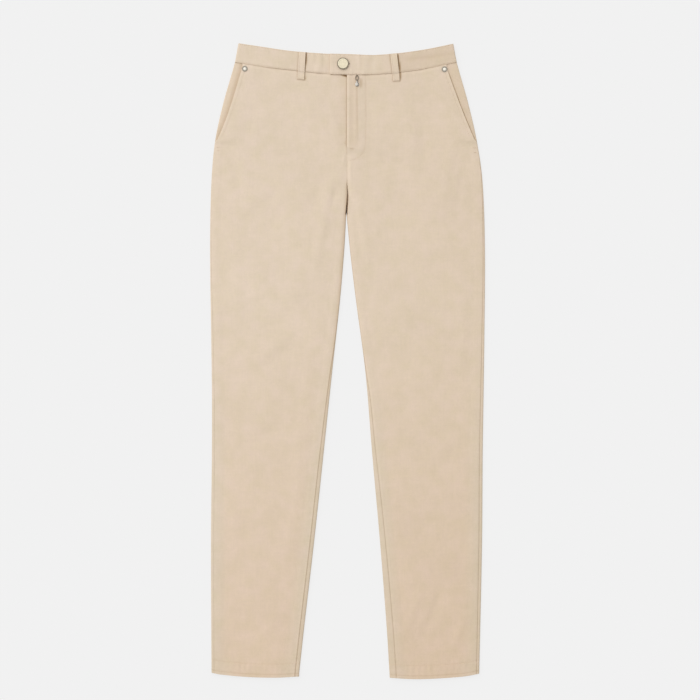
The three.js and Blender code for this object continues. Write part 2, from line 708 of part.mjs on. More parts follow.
// Round wire along points that close on themselves, in a plane at right angles to `axis`
function wireLoop(points, axis, radius, sides) {
  const position = [];
  const index = [];
  const count = points.length;
  points.forEach((point, k) => {
    const along = points[(k + 1) % count].clone().sub(points[(k + count - 1) % count]).normalize();
    const out = along.clone().cross(axis);
    for (let j = 0; j < sides; j++) {
      const angle = (2 * PI * j) / sides;
      const spot = point.clone().addScaledVector(out, radius * cos(angle));
      spot.addScaledVector(axis, radius * sin(angle));
      position.push(spot.x, spot.y, spot.z);
      const next = ((k + 1) % count) * sides;
      const here = k * sides;
      const beside = (j + 1) % sides;
      index.push(here + j, here + beside, next + beside, here + j, next + beside, next + j);
    }
  });
  const geometry = new THREE.BufferGeometry();
  geometry.setAttribute("position", new THREE.Float32BufferAttribute(position, 3));
  geometry.setIndex(facingOut(position, index));
  geometry.computeVertexNormals();
  return geometry;
}

// The charm's ring: a rounded rectangle of wire whose top bar is the hinge in the eye
function charmRing() {
  const { length, width, corner } = RING;
  const corners = [
    { x: width / 2 - corner, y: -corner, turn: 0 },
    { x: -width / 2 + corner, y: -corner, turn: 90 },
    { x: -width / 2 + corner, y: -length + corner, turn: 180 },
    { x: width / 2 - corner, y: -length + corner, turn: 270 },
  ];
  const points = corners.flatMap(({ x, y, turn }) =>
    [0, 30, 60, 90].map((step) => {
      const angle = ((turn + step) * PI) / 180;
      return new THREE.Vector3(x + corner * cos(angle), y + corner * sin(angle), 0);
    }),
  );
  return wireLoop(points, new THREE.Vector3(0, 0, 1), CHARM.wire, 8);
}

// The eye: a staple of wire over the ring's bar, its two feet on the fly
function charmEye() {
  const bend = CHARM.wire * 2 + GAP + 0.1;
  const feet = -(CHARM.lift - GAP);
  const route = new THREE.CurvePath();
  const at = (y, z) => new THREE.Vector3(0, y, z);
  const bow = [0, 30, 60, 90, 120, 150, 180].map((deg) => {
    const angle = (deg * PI) / 180;
    return at(bend * cos(angle), bend * sin(angle));
  });
  const points = [at(bend, feet), ...bow, at(-bend, feet)];
  for (let k = 1; k < points.length; k++) route.add(new THREE.LineCurve3(points[k - 1], points[k]));
  const wire = new THREE.Shape().absarc(0, 0, CHARM.wire, 0, 2 * PI);
  const options = { steps: 16, extrudePath: route, curveSegments: 4, bevelEnabled: false };
  return new THREE.ExtrudeGeometry(wire, options);
}

// The drop: a flat plate, narrow at its top, with a wire eye round the ring's lower bar
function charmDrop() {
  const { length, width, neck, thickness, eye, eyeWire, top } = DROP;
  const plate = new THREE.Shape();
  plate.moveTo(-neck / 2, -top);
  plate.bezierCurveTo(-neck / 2, -top - 3, -width / 2, -top - 4, -width / 2, -top - length + width / 2);
  plate.absarc(0, -top - length + width / 2, width / 2, PI, 2 * PI);
  plate.bezierCurveTo(width / 2, -top - 4, neck / 2, -top - 3, neck / 2, -top);
  const edge = 0.25;
  const body = new THREE.ExtrudeGeometry(plate, {
    depth: thickness - 2 * edge,
    bevelSize: edge,
    bevelThickness: edge,
    bevelOffset: -edge,
    bevelSegments: 1,
    curveSegments: 8,
  }).translate(0, 0, -CHARM.lift + GAP + edge);
  const ring = new THREE.TorusGeometry(eye, eyeWire, 8, 16).rotateY(PI / 2);
  return toGeometry(toSolid(body).add(toSolid(ring)));
}

const group = new THREE.Group();
const add = (name, geometry, material, x = 0, drop = LENGTH / 2, z = 0) => {
  const mesh = new THREE.Mesh(geometry, material);
  mesh.name = name;
  mesh.position.set(x - MIDDLE_X, yOf(drop), z);
  group.add(mesh);
};

for (const leg of LEGS) {
  add("front_" + leg.name, front(leg), MATERIALS.twill);
  add("back_" + leg.name, back(leg), MATERIALS.twill);
  add("pocket_facing_" + leg.name, pocketFacing(leg), MATERIALS.pocket);
}
const [rightLeg, leftLeg] = LEGS;
const slotted = toSolid(waistband(leftLeg)).subtract(toSolid(buttonhole()));
add("waistband_right", waistband(rightLeg), MATERIALS.twill);
add("waistband_left", toGeometry(slotted), MATERIALS.twill);
for (const loop of LOOPS) add(loop.name, beltLoop(loop), MATERIALS.twill);

const onBand = bandHeight(leftLeg, BUTTON.x) + GAP;
add("button", buttonRim(), MATERIALS.rim, BUTTON.x, BUTTON.drop, onBand);
add("button_face", buttonFace(), MATERIALS.ivory, BUTTON.x, BUTTON.drop, onBand);
for (const { name, x, drop } of RIVETS) add(name, rivet(), MATERIALS.rim, x, drop, surface(x, drop) + GAP);

const hinge = surface(CHARM.x, CHARM.eyeDrop) + CHARM.lift;
add("charm_eye", charmEye(), MATERIALS.silver, CHARM.x, CHARM.eyeDrop, hinge);
add("charm_ring", charmRing(), MATERIALS.silver, CHARM.x, CHARM.eyeDrop, hinge);
add("charm_drop", charmDrop(), MATERIALS.silver, CHARM.x, CHARM.eyeDrop + RING.length, hinge);

export default group;
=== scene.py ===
import math
from types import SimpleNamespace

import bpy
import numpy as np
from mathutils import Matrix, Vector
from mathutils.bvhtree import BVHTree


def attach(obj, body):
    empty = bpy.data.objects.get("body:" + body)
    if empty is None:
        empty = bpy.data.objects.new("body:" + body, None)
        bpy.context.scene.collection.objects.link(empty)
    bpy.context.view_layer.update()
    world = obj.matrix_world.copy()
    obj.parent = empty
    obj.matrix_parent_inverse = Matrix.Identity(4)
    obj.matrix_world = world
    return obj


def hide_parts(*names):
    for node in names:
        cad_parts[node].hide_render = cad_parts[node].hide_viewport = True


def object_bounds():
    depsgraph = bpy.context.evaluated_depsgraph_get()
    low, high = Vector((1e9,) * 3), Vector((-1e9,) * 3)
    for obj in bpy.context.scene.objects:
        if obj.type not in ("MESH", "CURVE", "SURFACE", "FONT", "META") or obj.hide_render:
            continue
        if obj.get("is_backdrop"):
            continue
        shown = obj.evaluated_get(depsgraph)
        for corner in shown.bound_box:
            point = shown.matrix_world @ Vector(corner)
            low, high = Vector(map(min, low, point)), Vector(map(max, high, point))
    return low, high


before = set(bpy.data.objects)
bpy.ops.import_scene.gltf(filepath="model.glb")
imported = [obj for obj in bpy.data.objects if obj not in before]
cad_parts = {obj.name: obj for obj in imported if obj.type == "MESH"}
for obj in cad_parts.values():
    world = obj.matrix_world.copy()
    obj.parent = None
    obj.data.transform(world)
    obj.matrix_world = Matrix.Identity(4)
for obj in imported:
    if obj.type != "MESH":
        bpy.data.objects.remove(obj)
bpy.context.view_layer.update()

MM = 0.001


# A table: the names of its columns, then its rows
def table(columns, *rows):
    return [dict(zip(columns.split(), row)) for row in rows]


# Driving dimensions of the garment
LENGTH = 1081.6
MIDDLE_X = 0.95
CLOTH = 1.2
BAND_CLOTH = 2.2
LOOP_CLOTH = 1.3
GAP = 0.3
SEAM_GAP = 0.04
CENTRE_X = -0.2
WAIST_ROW = 43
HEM_ROW = 1077
HEM_DEPTH = 23
EDGE_BLEND = 120
CROTCH_DROP = 262
GROOVE_DROP = 225
LEGS_PART_DROP = 289
FLY_DROP = 178
FLY_UNDERLAP = 13
FLY_FOOT = SimpleNamespace(start=12, end=4)
FLY_RISE = SimpleNamespace(start=16, end=42)
OVERLAP_END = 12
MOUTH_DROP = 163
MOUTH_END = 8
FACING_UNDERLAP = 12
MOUTH_RISE = 50
FOLD_HEIGHT = 4.6
CROWN = 0.9
CROWN_FADE = 45
BACK_LIFT = 1.6
WAIST_FOLD_TOP = 5.7
LIFT_LEVEL = 64
LIFT_FLOOR = 104
BAND_TOP = 7.4
BAND_HEIGHT = 33
BAND_END = {"right": 14, "left": -29}
TUCK = 0.9
TUCK_FROM, TUCK_TO = -50, -33
RIDE_TO, RIDE_FROM = 22, 50
LOOP_WIDTH = 11.4
LOOP_TAIL = 14
LOOP_BOW = 1.3
LOOP_STOPS = [0.01, 0.25, 0.5, 0.75, 0.97]
OVERLAP_STEP = CLOTH + GAP

OUTLINE = table(
    "drop right left",
    (0, 184.6, 180.6),
    (35, 191.3, 187.4),
    (100, 210, 205.8),
    (165, 224.2, 220.7),
    (235, 230.6, 230.6),
    (350, 233, 234.8),
    (500, 231, 233.8),
    (607, 229.8, 232.3),
    (700, 230, 230.9),
    (850, 231.4, 229.8),
    (1072, 230.5, 225),
)
INSIDE_LEG = table(
    "drop right left",
    (LEGS_PART_DROP, 1.2, -0.9),
    (350, 4.5, 4.9),
    (437, 11.9, 15.2),
    (560, 25.3, 31.4),
    (700, 40, 43),
    (850, 56.1, 56.3),
    (1000, 73.5, 68),
    (1072, 81.4, 72.5),
)
WAIST_TOP = table(
    "x drop",
    (-190, -0.2),
    (-142.8, 6.8),
    (-96, 13.6),
    (-40, 18),
    (3, 19.2),
    (43, 20.6),
    (90.1, 17.1),
    (134.3, 10.8),
    (187, 0),
)
WAIST_SEAM = table(
    "x drop",
    (-192, 32.7),
    (-147, 40.2),
    (-96, 46.2),
    (-40, 52.2),
    (0, 54.3),
    (34, 54.2),
    (68, 52.2),
    (98, 49.2),
    (132, 44.4),
    (169, 36.8),
    (188, 32.4),
)
HEM_EDGE = table(
    "x drop",
    (-231, 1070.8),
    (-212, 1074),
    (-165, 1078),
    (-118, 1078.9),
    (-82, 1077.4),
    (71, 1079.4),
    (108, 1081.4),
    (145, 1080.8),
    (199, 1077),
    (225, 1072.4),
)
MOUTH = table(
    "drop right left",
    (49, 177.8, 169.4),
    (75, 185.8, 178.5),
    (100, 194, 188.3),
    (132, 206.3, 202.4),
    (174, 224.6, 221.5),
)
CREVICE_DROP = 238
CENTRE_LINE = table(
    "drop x",
    (0, CENTRE_X),
    (225, CENTRE_X),
    (245, 0.5),
    (258, 1),
    (272, 0.3),
    (LEGS_PART_DROP, -1.05),
)
SIDE_SEAM = table(
    "drop right left",
    (174, 0, 0),
    (267, 2, 3.6),
    (437, 4.2, 5.2),
    (692, 6.2, 7),
    (1077, 6, 6.3),
)
INSEAM = table(
    "drop right left",
    (380, 0, 0),
    (440, 0.6, 0),
    (520, 2.6, 0.6),
    (560, 4.4, 2.6),
    (607, 5.8, 5.6),
    (692, 7.4, 7.6),
    (777, 7.9, 9.8),
    (947, 8.2, 12),
    (1077, 8.4, 13),
)
# The largest folds of the front
FOLDS = table(
    "x0 drop0 x1 drop1 width rise bow",
    (-6, 200, -50, 330, 11, 1.2, 0),
    (-34, 205, -76, 320, 11, -0.9, 0),
    (8, 205, 30, 370, 10, 1.2, 0),
    (20, 196, 62, 240, 10, -0.8, 0),
    (-120, 215, -132, 300, 13, -0.8, 0),
    (-48, 430, -104, 1000, 14, 0.6, 0),
    (152, 930, 122, 1020, 12, 0.7, 0),
    (-90, 70, -22, 138, 10, 0.5, 0),
)
# Smaller creases of the front, laid over them
CREASES = table(
    "x0 drop0 x1 drop1 width rise bow",
    (-5, 182, -6, 218, 2.4, 0.25, 0),
    (2.5, 186, 5, 254, 2.6, 0.28, 1),
    (-92, 64, -12, 140, 5, 0.35, 4),
    (-58, 62, -10, 112, 5, -0.3, 3),
    (-30, 90, -8, 170, 6, 0.3, -3),
    (-120, 60, -96, 150, 8, -0.25, 6),
    (-160, 120, -128, 205, 9, 0.3, -5),
    (-205, 165, -178, 300, 8, -0.35, 6),
    (-190, 170, -160, 290, 8, 0.3, 5),
    (-96, 226, -200, 310, 12, 0.35, -8),
    (-78, 250, -150, 352, 11, -0.3, -6),
    (-16, 228, -34, 300, 5, -0.5, 2),
    (-22, 250, -60, 420, 8, 0.4, -4),
    (4, 228, 14, 300, 5, -0.45, -2),
    (14, 252, 40, 410, 8, 0.35, 4),
    (34, 200, 96, 262, 7, 0.35, 5),
    (40, 184, 128, 214, 8, -0.3, -5),
    (44, 92, 70, 170, 9, 0.3, -4),
    (98, 84, 110, 270, 11, 0.35, 6),
    (122, 110, 128, 250, 9, -0.28, 5),
    (190, 150, 168, 268, 8, 0.3, -6),
    (206, 190, 186, 330, 7, -0.3, -5),
    (-196, 330, -184, 520, 10, 0.25, 4),
    (-150, 380, -90, 470, 11, -0.25, 6),
    (-60, 480, -170, 560, 12, 0.28, -9),
    (-70, 505, -180, 590, 11, -0.26, -8),
    (-205, 560, -120, 640, 11, 0.25, 7),
    (-90, 640, -190, 706, 12, -0.25, -7),
    (-210, 720, -180, 900, 9, 0.25, 4),
    (-120, 780, -150, 940, 11, -0.22, 5),
    (-100, 960, -160, 1035, 9, 0.3, -4),
    (60, 430, 150, 520, 12, 0.28, 8),
    (72, 470, 180, 548, 11, -0.26, 8),
    (205, 430, 196, 620, 9, 0.25, -5),
    (66, 600, 160, 660, 12, -0.24, 7),
    (210, 650, 130, 735, 12, 0.26, -8),
    (80, 720, 96, 900, 10, 0.24, -4),
    (196, 790, 182, 960, 10, -0.26, 5),
    (168, 900, 110, 1040, 9, -0.5, 6),
    (132, 905, 84, 1030, 8, 0.35, 5),
    (210, 960, 176, 1048, 7, 0.32, -3),
)
# The same kind of creases on the back, where they can only stand off the surface
BACK_CREASES = table(
    "x0 drop0 x1 drop1 width rise bow",
    (-20, 150, -120, 236, 11, -0.4, -8),
    (14, 170, 112, 250, 11, -0.4, 8),
    (-24, 268, -96, 330, 9, -0.45, 6),
    (22, 272, 104, 338, 9, -0.45, -6),
    (-150, 120, -180, 300, 11, -0.3, 5),
    (148, 110, 184, 290, 11, -0.3, -5),
    (-60, 470, -190, 560, 12, -0.4, -8),
    (-76, 540, -170, 610, 10, -0.3, 6),
    (58, 480, 178, 552, 12, -0.4, 8),
    (210, 600, 110, 680, 11, -0.3, -6),
    (-200, 760, -140, 900, 10, -0.3, 5),
    (190, 800, 120, 930, 10, -0.3, -5),
)
LOOPS = table(
    "name face top_x foot_x",
    ("belt_loop_front_right", "front", -75.8, -78.4),
    ("belt_loop_front_left", "front", 79.1, 84.2),
    ("belt_loop_back_right", "back", -98, -98),
    ("belt_loop_back_center", "back", CENTRE_X, CENTRE_X),
    ("belt_loop_back_left", "back", 96, 96),
)
# Shade on the cloth before and beyond each of the front loops
LOOP_SHADES = [dict(before=0.25, width=3.4), dict(before=0.6, width=2.8)]
BUTTON = SimpleNamespace(x=-6.8, drop=35.8, rim=10, face=8.7, height=3, lip=0.9, shank=1.2)
BUTTONHOLE = SimpleNamespace(left=-11.5, right=5, width=3.2)
RIVETS = table(
    "name x drop",
    ("rivet_right", -173.6, 44.2),
    ("rivet_left", 165.6, 45),
)
RIVET = SimpleNamespace(radius=4.9, height=1.5)
CHARM = SimpleNamespace(x=17, eye_drop=56.3, wire=0.45, lift=1.9)
RING = SimpleNamespace(length=7.2, width=4.6, corner=1.6)
DROP = SimpleNamespace(length=10.2, width=6.6, neck=2, thickness=1.2, eye=1.2, eye_wire=0.38, top=0.85)

# Sewing
STITCH = 2.5
STITCH_GAP = 0.8
THREAD = 0.2
MOUTH_STITCH = 6
BAND_STITCH = 1.8
SEAM_ALLOWANCE = 13
SEAM_ROUND = 0.15
FLY_TACK = SimpleNamespace(x=8.5, half=3.5, drop=180.5)
EDGE_ROUND = 0.55
HEM_EDGE_LINE = 5.5
FLY_RIDGE_X = 17
J_LINE = SimpleNamespace(width=32, turn=156, foot=200, power=3.4)

# Bar tacks below each pocket mouth, at a distance from X = 0
MOUTH_TACKS = {
    "right": [dict(u=219, drop=177, long=6), dict(u=219, drop=183, long=5)],
    "left": [dict(u=217, drop=178, long=6), dict(u=218, drop=186, long=5)],
}

# Looks of the cloth
CREASE_GAIN = 2.5
SHOULDER = SimpleNamespace(fall=0.6, edge=1, width=10)
# How dark the side seam and inseam lines are painted: their own dark joint, and painted shade in their
# sunken line
SIDE_SEAM_TONE = {"right": 0.0, "left": 0.35}
INSEAM_TONE = {"right": 0.7, "left": 0.1}
# Painted shade on each pocket facing beside the mouth, where the front's edge lies over it: a wide soft
# part and a thin line
MOUTH_TONE = {"right": dict(wide=0.4, line=0.1), "left": dict(wide=0.08, line=1.5)}
# Painted shade towards the folded edges: its strength between the legs and lower down, its width, and its
# strength outside the legs
FOLD_EDGE_PAINTED_SHADE = {
    "right": dict(inner=0.5, low=0.25, width=7, outer=0.03),
    "left": dict(inner=0.3, low=0.3, width=2.2, outer=0.1),
}
# Where the painted shadow below the waist seam, under the overlapping end of the waistband, begins
WEDGE_FROM = -15

# How finely the cloth is divided
ARC_STEPS = 24
STRETCH_STEPS = 300
EDGE_COLUMNS = [0, 0.12, 0.3, 0.55, 0.9, 1.4, 2, 2.7, 3.5, 4.6, 6, 7.8, 10, 12.5]
FRONT_COLUMNS = 68
BACK_ROLL = 13
BACK_ACROSS = 46


def ease(value, low, high):
    t = np.clip((value - low) / (high - low), 0, 1)
    return t * t * (3 - 2 * t)


def lerp(a, b, t):
    return a + (b - a) * t


def bump(distance, width):
    return np.exp(-((distance / width) ** 2))


# A smooth curve through one column of a table, as a function of another
def curve(rows, by, column):
    at = np.array([row[by] for row in rows], float)
    value = np.array([row[column] for row in rows], float)
    k = np.arange(len(rows))
    before, after = np.maximum(k - 1, 0), np.minimum(k + 1, len(rows) - 1)
    slope = (value[after] - value[before]) / (at[after] - at[before])

    def value_at(where):
        where = np.clip(where, at[0], at[-1])
        k = np.clip(np.searchsorted(at, where), 1, len(at) - 1) - 1
        span = at[k + 1] - at[k]
        t = (where - at[k]) / span
        rise = value[k + 1] - value[k]
        start = slope[k] * span - rise
        end = rise - slope[k + 1] * span
        return value[k] + rise * t + t * (1 - t) * (start * (1 - t) + end * t)

    return value_at


waist_top = curve(WAIST_TOP, "x", "drop")
waist_seam = curve(WAIST_SEAM, "x", "drop")
hem_edge = curve(HEM_EDGE, "x", "drop")
LEGS = [
    SimpleNamespace(
        name=name,
        side=side,
        outline=curve(OUTLINE, "drop", name),
        inside_leg=curve(INSIDE_LEG, "drop", name),
        mouth=curve(MOUTH, "drop", name),
        side_seam=curve(SIDE_SEAM, "drop", name),
        inseam=curve(INSEAM, "drop", name),
    )
    for name, side in (("right", -1), ("left", 1))
]


# Smooth noise from -1 to 1 that changes over about `size` millimetres
def noise(x, y, size, seed):
    gx, gy = x / size + 11.3 * seed, y / size - 7.1 * seed
    ix, iy = np.floor(gx), np.floor(gy)
    fx, fy = gx - ix, gy - iy
    wx, wy = fx * fx * (3 - 2 * fx), fy * fy * (3 - 2 * fy)

    def corner(i, j):
        value = np.sin(i * 127.1 + j * 311.7 + seed * 74.7) * 43758.5453
        return 2 * (value - np.floor(value)) - 1

    low = lerp(corner(ix, iy), corner(ix + 1, iy), wx)
    high = lerp(corner(ix, iy + 1), corner(ix + 1, iy + 1), wx)
    return lerp(low, high, wy)


def crease_rise(table, x, drop):
    rise = 0
    for crease in table:
        dx = crease["x1"] - crease["x0"]
        dd = crease["drop1"] - crease["drop0"]
        length = math.hypot(dx, dd)
        along = ((x - crease["x0"]) * dx + (drop - crease["drop0"]) * dd) / length
        across = ((x - crease["x0"]) * dd - (drop - crease["drop0"]) * dx) / length
        t = np.clip(along / length, 0, 1)
        across = across - crease["bow"] * 4 * t * (1 - t)
        taper = ease(along, 0, length * 0.4) * (1 - ease(along, length * 0.5, length))
        rise = rise + crease["rise"] * taper * bump(across, crease["width"])
    return rise


# The drop of a panel's row at x: rows follow the waist seam and the hems, and are straight between
def row_drop(row, x):
    near_waist = 1 - ease(row, WAIST_ROW, WAIST_ROW + EDGE_BLEND)
    near_hem = ease(row, HEM_ROW - EDGE_BLEND, HEM_ROW)
    return row + (waist_seam(x) - WAIST_ROW) * near_waist + (hem_edge(x) - HEM_ROW) * near_hem


# X of the centre seam at a row
centre_x = curve(CENTRE_LINE, "drop", "x")


# Section of one leg at a row. u is the distance from X = 0 towards the leg's own side.
def section(leg, row):
    outer = leg.outline(row_drop(row, leg.side * leg.outline(row)))
    inner = leg.side * centre_x(row) + SEAM_GAP / 2 if row < LEGS_PART_DROP else leg.inside_leg(row)
    at_waist = 1 - ease(row, LIFT_LEVEL, LIFT_FLOOR)
    bottom = BACK_LIFT * at_waist
    fold_top = lerp(FOLD_HEIGHT, WAIST_FOLD_TOP, at_waist)
    return SimpleNamespace(
        row=row,
        outer=outer,
        inner=inner,
        bottom=bottom,
        fold_top=fold_top,
        radius=(fold_top - bottom) / 2,
        crown=lerp(CROWN, 0.2, at_waist),
        dip=ease(row, GROOVE_DROP, CROTCH_DROP),
    )


def front_height(leg, cut, u):
    from_outer = ease(cut.outer - cut.radius - u, 0, CROWN_FADE)
    from_inner = lerp(1, ease(u - cut.inner - cut.radius, 0, CROWN_FADE), cut.dip)
    x = leg.side * u
    folds = crease_rise(FOLDS, x, row_drop(cut.row, x))
    return cut.fold_top + cut.crown * from_outer * from_inner + folds * np.minimum(from_outer, from_inner)


# How far the front stands off what lies under it at the pocket mouth and at the fly
def overlap_rise(leg, cut, u):
    at_mouth = 1 - ease(cut.row, MOUTH_DROP, MOUTH_DROP + OVERLAP_END)
    mouth = OVERLAP_STEP * at_mouth * (1 - ease(leg.mouth(cut.row) - u, FACING_UNDERLAP, MOUTH_RISE))
    if leg.side < 0:
        return mouth
    above_foot = 1 - ease(cut.row, FLY_DROP, FLY_DROP + OVERLAP_END)
    return mouth + OVERLAP_STEP * above_foot * (1 - ease(u, FLY_RISE.start, FLY_RISE.end))


def no_rise(leg, cut, u):
    return 0 * u


def arc(centre_u, centre_z, radius, from_deg, to_deg, outward):
    angle = np.radians(np.linspace(from_deg, to_deg, ARC_STEPS + 1))
    return np.stack([centre_u + outward * radius * np.cos(angle), centre_z + radius * np.sin(angle)], 1)


def stretch(from_u, to_u, height):
    u = np.linspace(from_u, to_u, STRETCH_STEPS + 1)[1:-1]
    return np.stack([u, height(u)], 1)


# A path with the distances along it
def measured(parts):
    path = np.concatenate(parts)
    steps = np.hypot(*np.diff(path, axis=0).T)
    return SimpleNamespace(path=path, at=np.concatenate([[0], np.cumsum(steps)]), length=float(steps.sum()))


# Points of a path at distances along it, with the direction that faces out of the cloth
def points_at(line, s):
    def place(where):
        return np.interp(where, line.at, line.path[:, 0]), np.interp(where, line.at, line.path[:, 1])

    reach = 0.35
    u0, z0 = place(np.clip(s - reach, 0, line.length))
    u1, z1 = place(np.clip(s + reach, 0, line.length))
    span = np.hypot(u1 - u0, z1 - z0)
    return (*place(s), (z1 - z0) / span, -(u1 - u0) / span)


def front_path(leg, cut, inner_u, rise):
    def height(u):
        return front_height(leg, cut, u) + rise(leg, cut, u)

    edge = cut.outer - cut.radius
    lift = float(rise(leg, cut, np.array(edge)))
    rolled = cut.dip * 90
    turn_u = inner_u + cut.radius * math.sin(math.radians(rolled))
    turn_z = float(height(np.array(turn_u))) - cut.radius
    return measured(
        [
            arc(edge, cut.bottom + cut.radius + lift, cut.radius, 0, 90, 1),
            stretch(edge, turn_u, height),
            arc(turn_u, turn_z, cut.radius, 90, 90 - rolled, -1),
        ]
    )


# The path of the back, from the inner fold's top, under the leg and up the outer fold to the front
def back_path(leg, cut):
    reach = 20
    turned = cut.radius * math.sin(cut.dip * math.pi / 2)
    mid = cut.bottom + cut.radius

    def height(u):
        return front_height(leg, cut, u)

    if cut.dip < 1:
        start = [arc(cut.inner + turned, mid, cut.radius, -90 + 90 * cut.dip, -90, -1)]
    else:
        top = cut.inner + cut.radius
        start = [stretch(top + reach, top, height), arc(top, mid, cut.radius, 90, -90, -1)]
    edge = cut.outer - cut.radius
    line = measured(
        [
            *start,
            stretch(cut.inner + turned, edge, lambda u: cut.bottom + 0 * u),
            arc(edge, mid, cut.radius, -90, 90, 1),
            stretch(edge, edge - reach, height),
        ]
    )
    line.flat_start = line.at[sum(len(part) for part in start) - 1]
    line.rim = line.length - reach - math.pi / 2 * cut.radius
    return line


def columns(low, high, edges, middle):
    near = np.array([distance for distance in edges if distance < (high - low) / 2])
    left, right = low + near, high - near[::-1]
    return np.concatenate([left, np.linspace(left[-1], right[0], middle + 1)[1:-1], right])


def panel_rows(last_row):
    rows = np.concatenate(
        [
            WAIST_ROW + SEAM_GAP / 2 + np.array(
                [0, 0.2, 0.5, 0.9, 1.4, 2, 2.8, 3.8, 5, 6.5, 8.2, 10, 12, 14]
            ),
            np.arange(60, 160, 2.8),
            np.arange(160, 300, 2),
            np.arange(300, 1040, 3.3),
            np.arange(1040, 1049, 2),
            np.arange(1050, 1057.9, 0.6),
            np.arange(1058, 1070, 1.5),
            np.arange(1070, 1073.9, 0.6),
            HEM_ROW - np.array([3, 2, 1.3, 0.8, 0.45, 0.2, 0.08, 0]),
        ]
    )
    return rows[rows <= last_row + GAP]


# How far round the fold the front starts: at the pocket mouth, and below it at the side seam
def front_start(leg, cut):
    turned = (math.pi / 2 - 1) * cut.radius
    at_mouth = cut.outer - leg.mouth(cut.row) + turned
    return lerp(at_mouth, leg.side_seam(cut.row), ease(cut.row, MOUTH_DROP, MOUTH_DROP + MOUTH_END))


def front_inner(leg, cut):
    if leg.side > 0:
        return cut.inner
    under = 1 - ease(cut.row, FLY_DROP - FLY_FOOT.start, FLY_DROP - FLY_FOOT.end)
    return lerp(cut.inner, -FLY_UNDERLAP, under)


# A grid of points over a panel, from a function that gives one row of it: the path and the distances
def panel_grid(leg, rows, row_of):
    u, z, nu, nz, low, high = [], [], [], [], [], []
    for row in rows:
        line, s = row_of(section(leg, row))
        for values, value in zip((u, z, nu, nz), points_at(line, s)):
            values.append(value)
        low.append(s - s[0])
        high.append(s[-1] - s)
    u, z, nu, nz = (np.array(values) for values in (u, z, nu, nz))
    row = np.broadcast_to(rows[:, None], u.shape)
    x = leg.side * u
    return SimpleNamespace(
        x=x,
        drop=row_drop(row, x),
        drop_at=lambda x: row_drop(row, x),
        z=z,
        nx=leg.side * nu,
        nz=nz,
        row=row,
        low=np.array(low),
        high=np.array(high),
        leg=leg,
    )


# Uneven ripples along a seam, which fade away from it
def pucker(along, distance, seed, depth=0.3, reach=7, period=9):
    phase = along / period + 1.4 * noise(along, 0 * along, 46, seed)
    strength = 0.6 + 0.4 * noise(along, 0 * along, 31, seed + 5)
    return depth * strength * np.sin(2 * math.pi * phase) * np.exp(-np.maximum(distance, 0) / reach)


# The sunken line of a seam, and the seam allowance that shows through beside it
def seam_form(distance):
    return (
        0.32 * (1 - ease(distance, SEAM_ALLOWANCE - 1.5, SEAM_ALLOWANCE + 3)) - 0.12 * bump(distance, 0.9)
    )


def rolled_edge(distance, radius=EDGE_ROUND):
    left = np.clip(radius - distance, 0, radius)
    return -(radius - np.sqrt(np.maximum(radius**2 - left**2, 0)))


# What all layers of the front share: creases and the cloth's own unevenness
def drape(x, drop):
    return (
        CREASE_GAIN * crease_rise(CREASES, x, drop)
        + 0.3 * noise(x, drop, 38, 1)
        + 0.16 * noise(x + drop * 0.3, drop, 17, 2)
        + 0.06 * noise(x, drop, 6, 3)
    )


# The cloth falls away towards the folded edges
def shoulder(leg, x, drop):
    u = leg.side * x
    outer = leg.outline(drop) - u
    inner = np.where(drop > LEGS_PART_DROP, u - leg.inside_leg(drop), EDGE_BLEND)
    return -SHOULDER.fall * (1 - ease(np.minimum(outer, inner), SHOULDER.edge, SHOULDER.width))


# The curved stitching of the fly: X at a drop
def j_line(drop):
    t = np.clip((drop - J_LINE.turn) / (J_LINE.foot - J_LINE.turn), 0, 1)
    return CENTRE_X + J_LINE.width * np.sqrt(np.maximum(1 - t**J_LINE.power, 0))


# How far a place is inside the fly's curved stitching; negative outside it
def inside_j(x, drop):
    across = j_line(drop) - x
    slope = (j_line(drop + 0.5) - j_line(drop - 0.5)) * (drop < J_LINE.foot)
    return across / np.hypot(1, slope)


# Seen from the front, how far each place is below the waist seam and above the hem
def below_waist(grid):
    return grid.drop - waist_seam(grid.x)


def above_hem(grid):
    return hem_edge(grid.x) - grid.drop


def hem_form(grid):
    up = above_hem(grid)
    inside = 1 - ease(up, HEM_DEPTH - 0.8, HEM_DEPTH + 0.8)
    line = 0.3 * inside - 0.12 * bump(up - HEM_DEPTH, 1.1) - 0.16 * bump(up - HEM_EDGE_LINE, 0.8)
    return line + pucker(grid.x, np.abs(up - HEM_DEPTH + 5), 7, 0.42, 9, 10)


def waist_form(grid):
    below = below_waist(grid)
    return pucker(grid.x, below, 9, 0.26, 12, 14) - 0.08 * bump(below, 1.2)


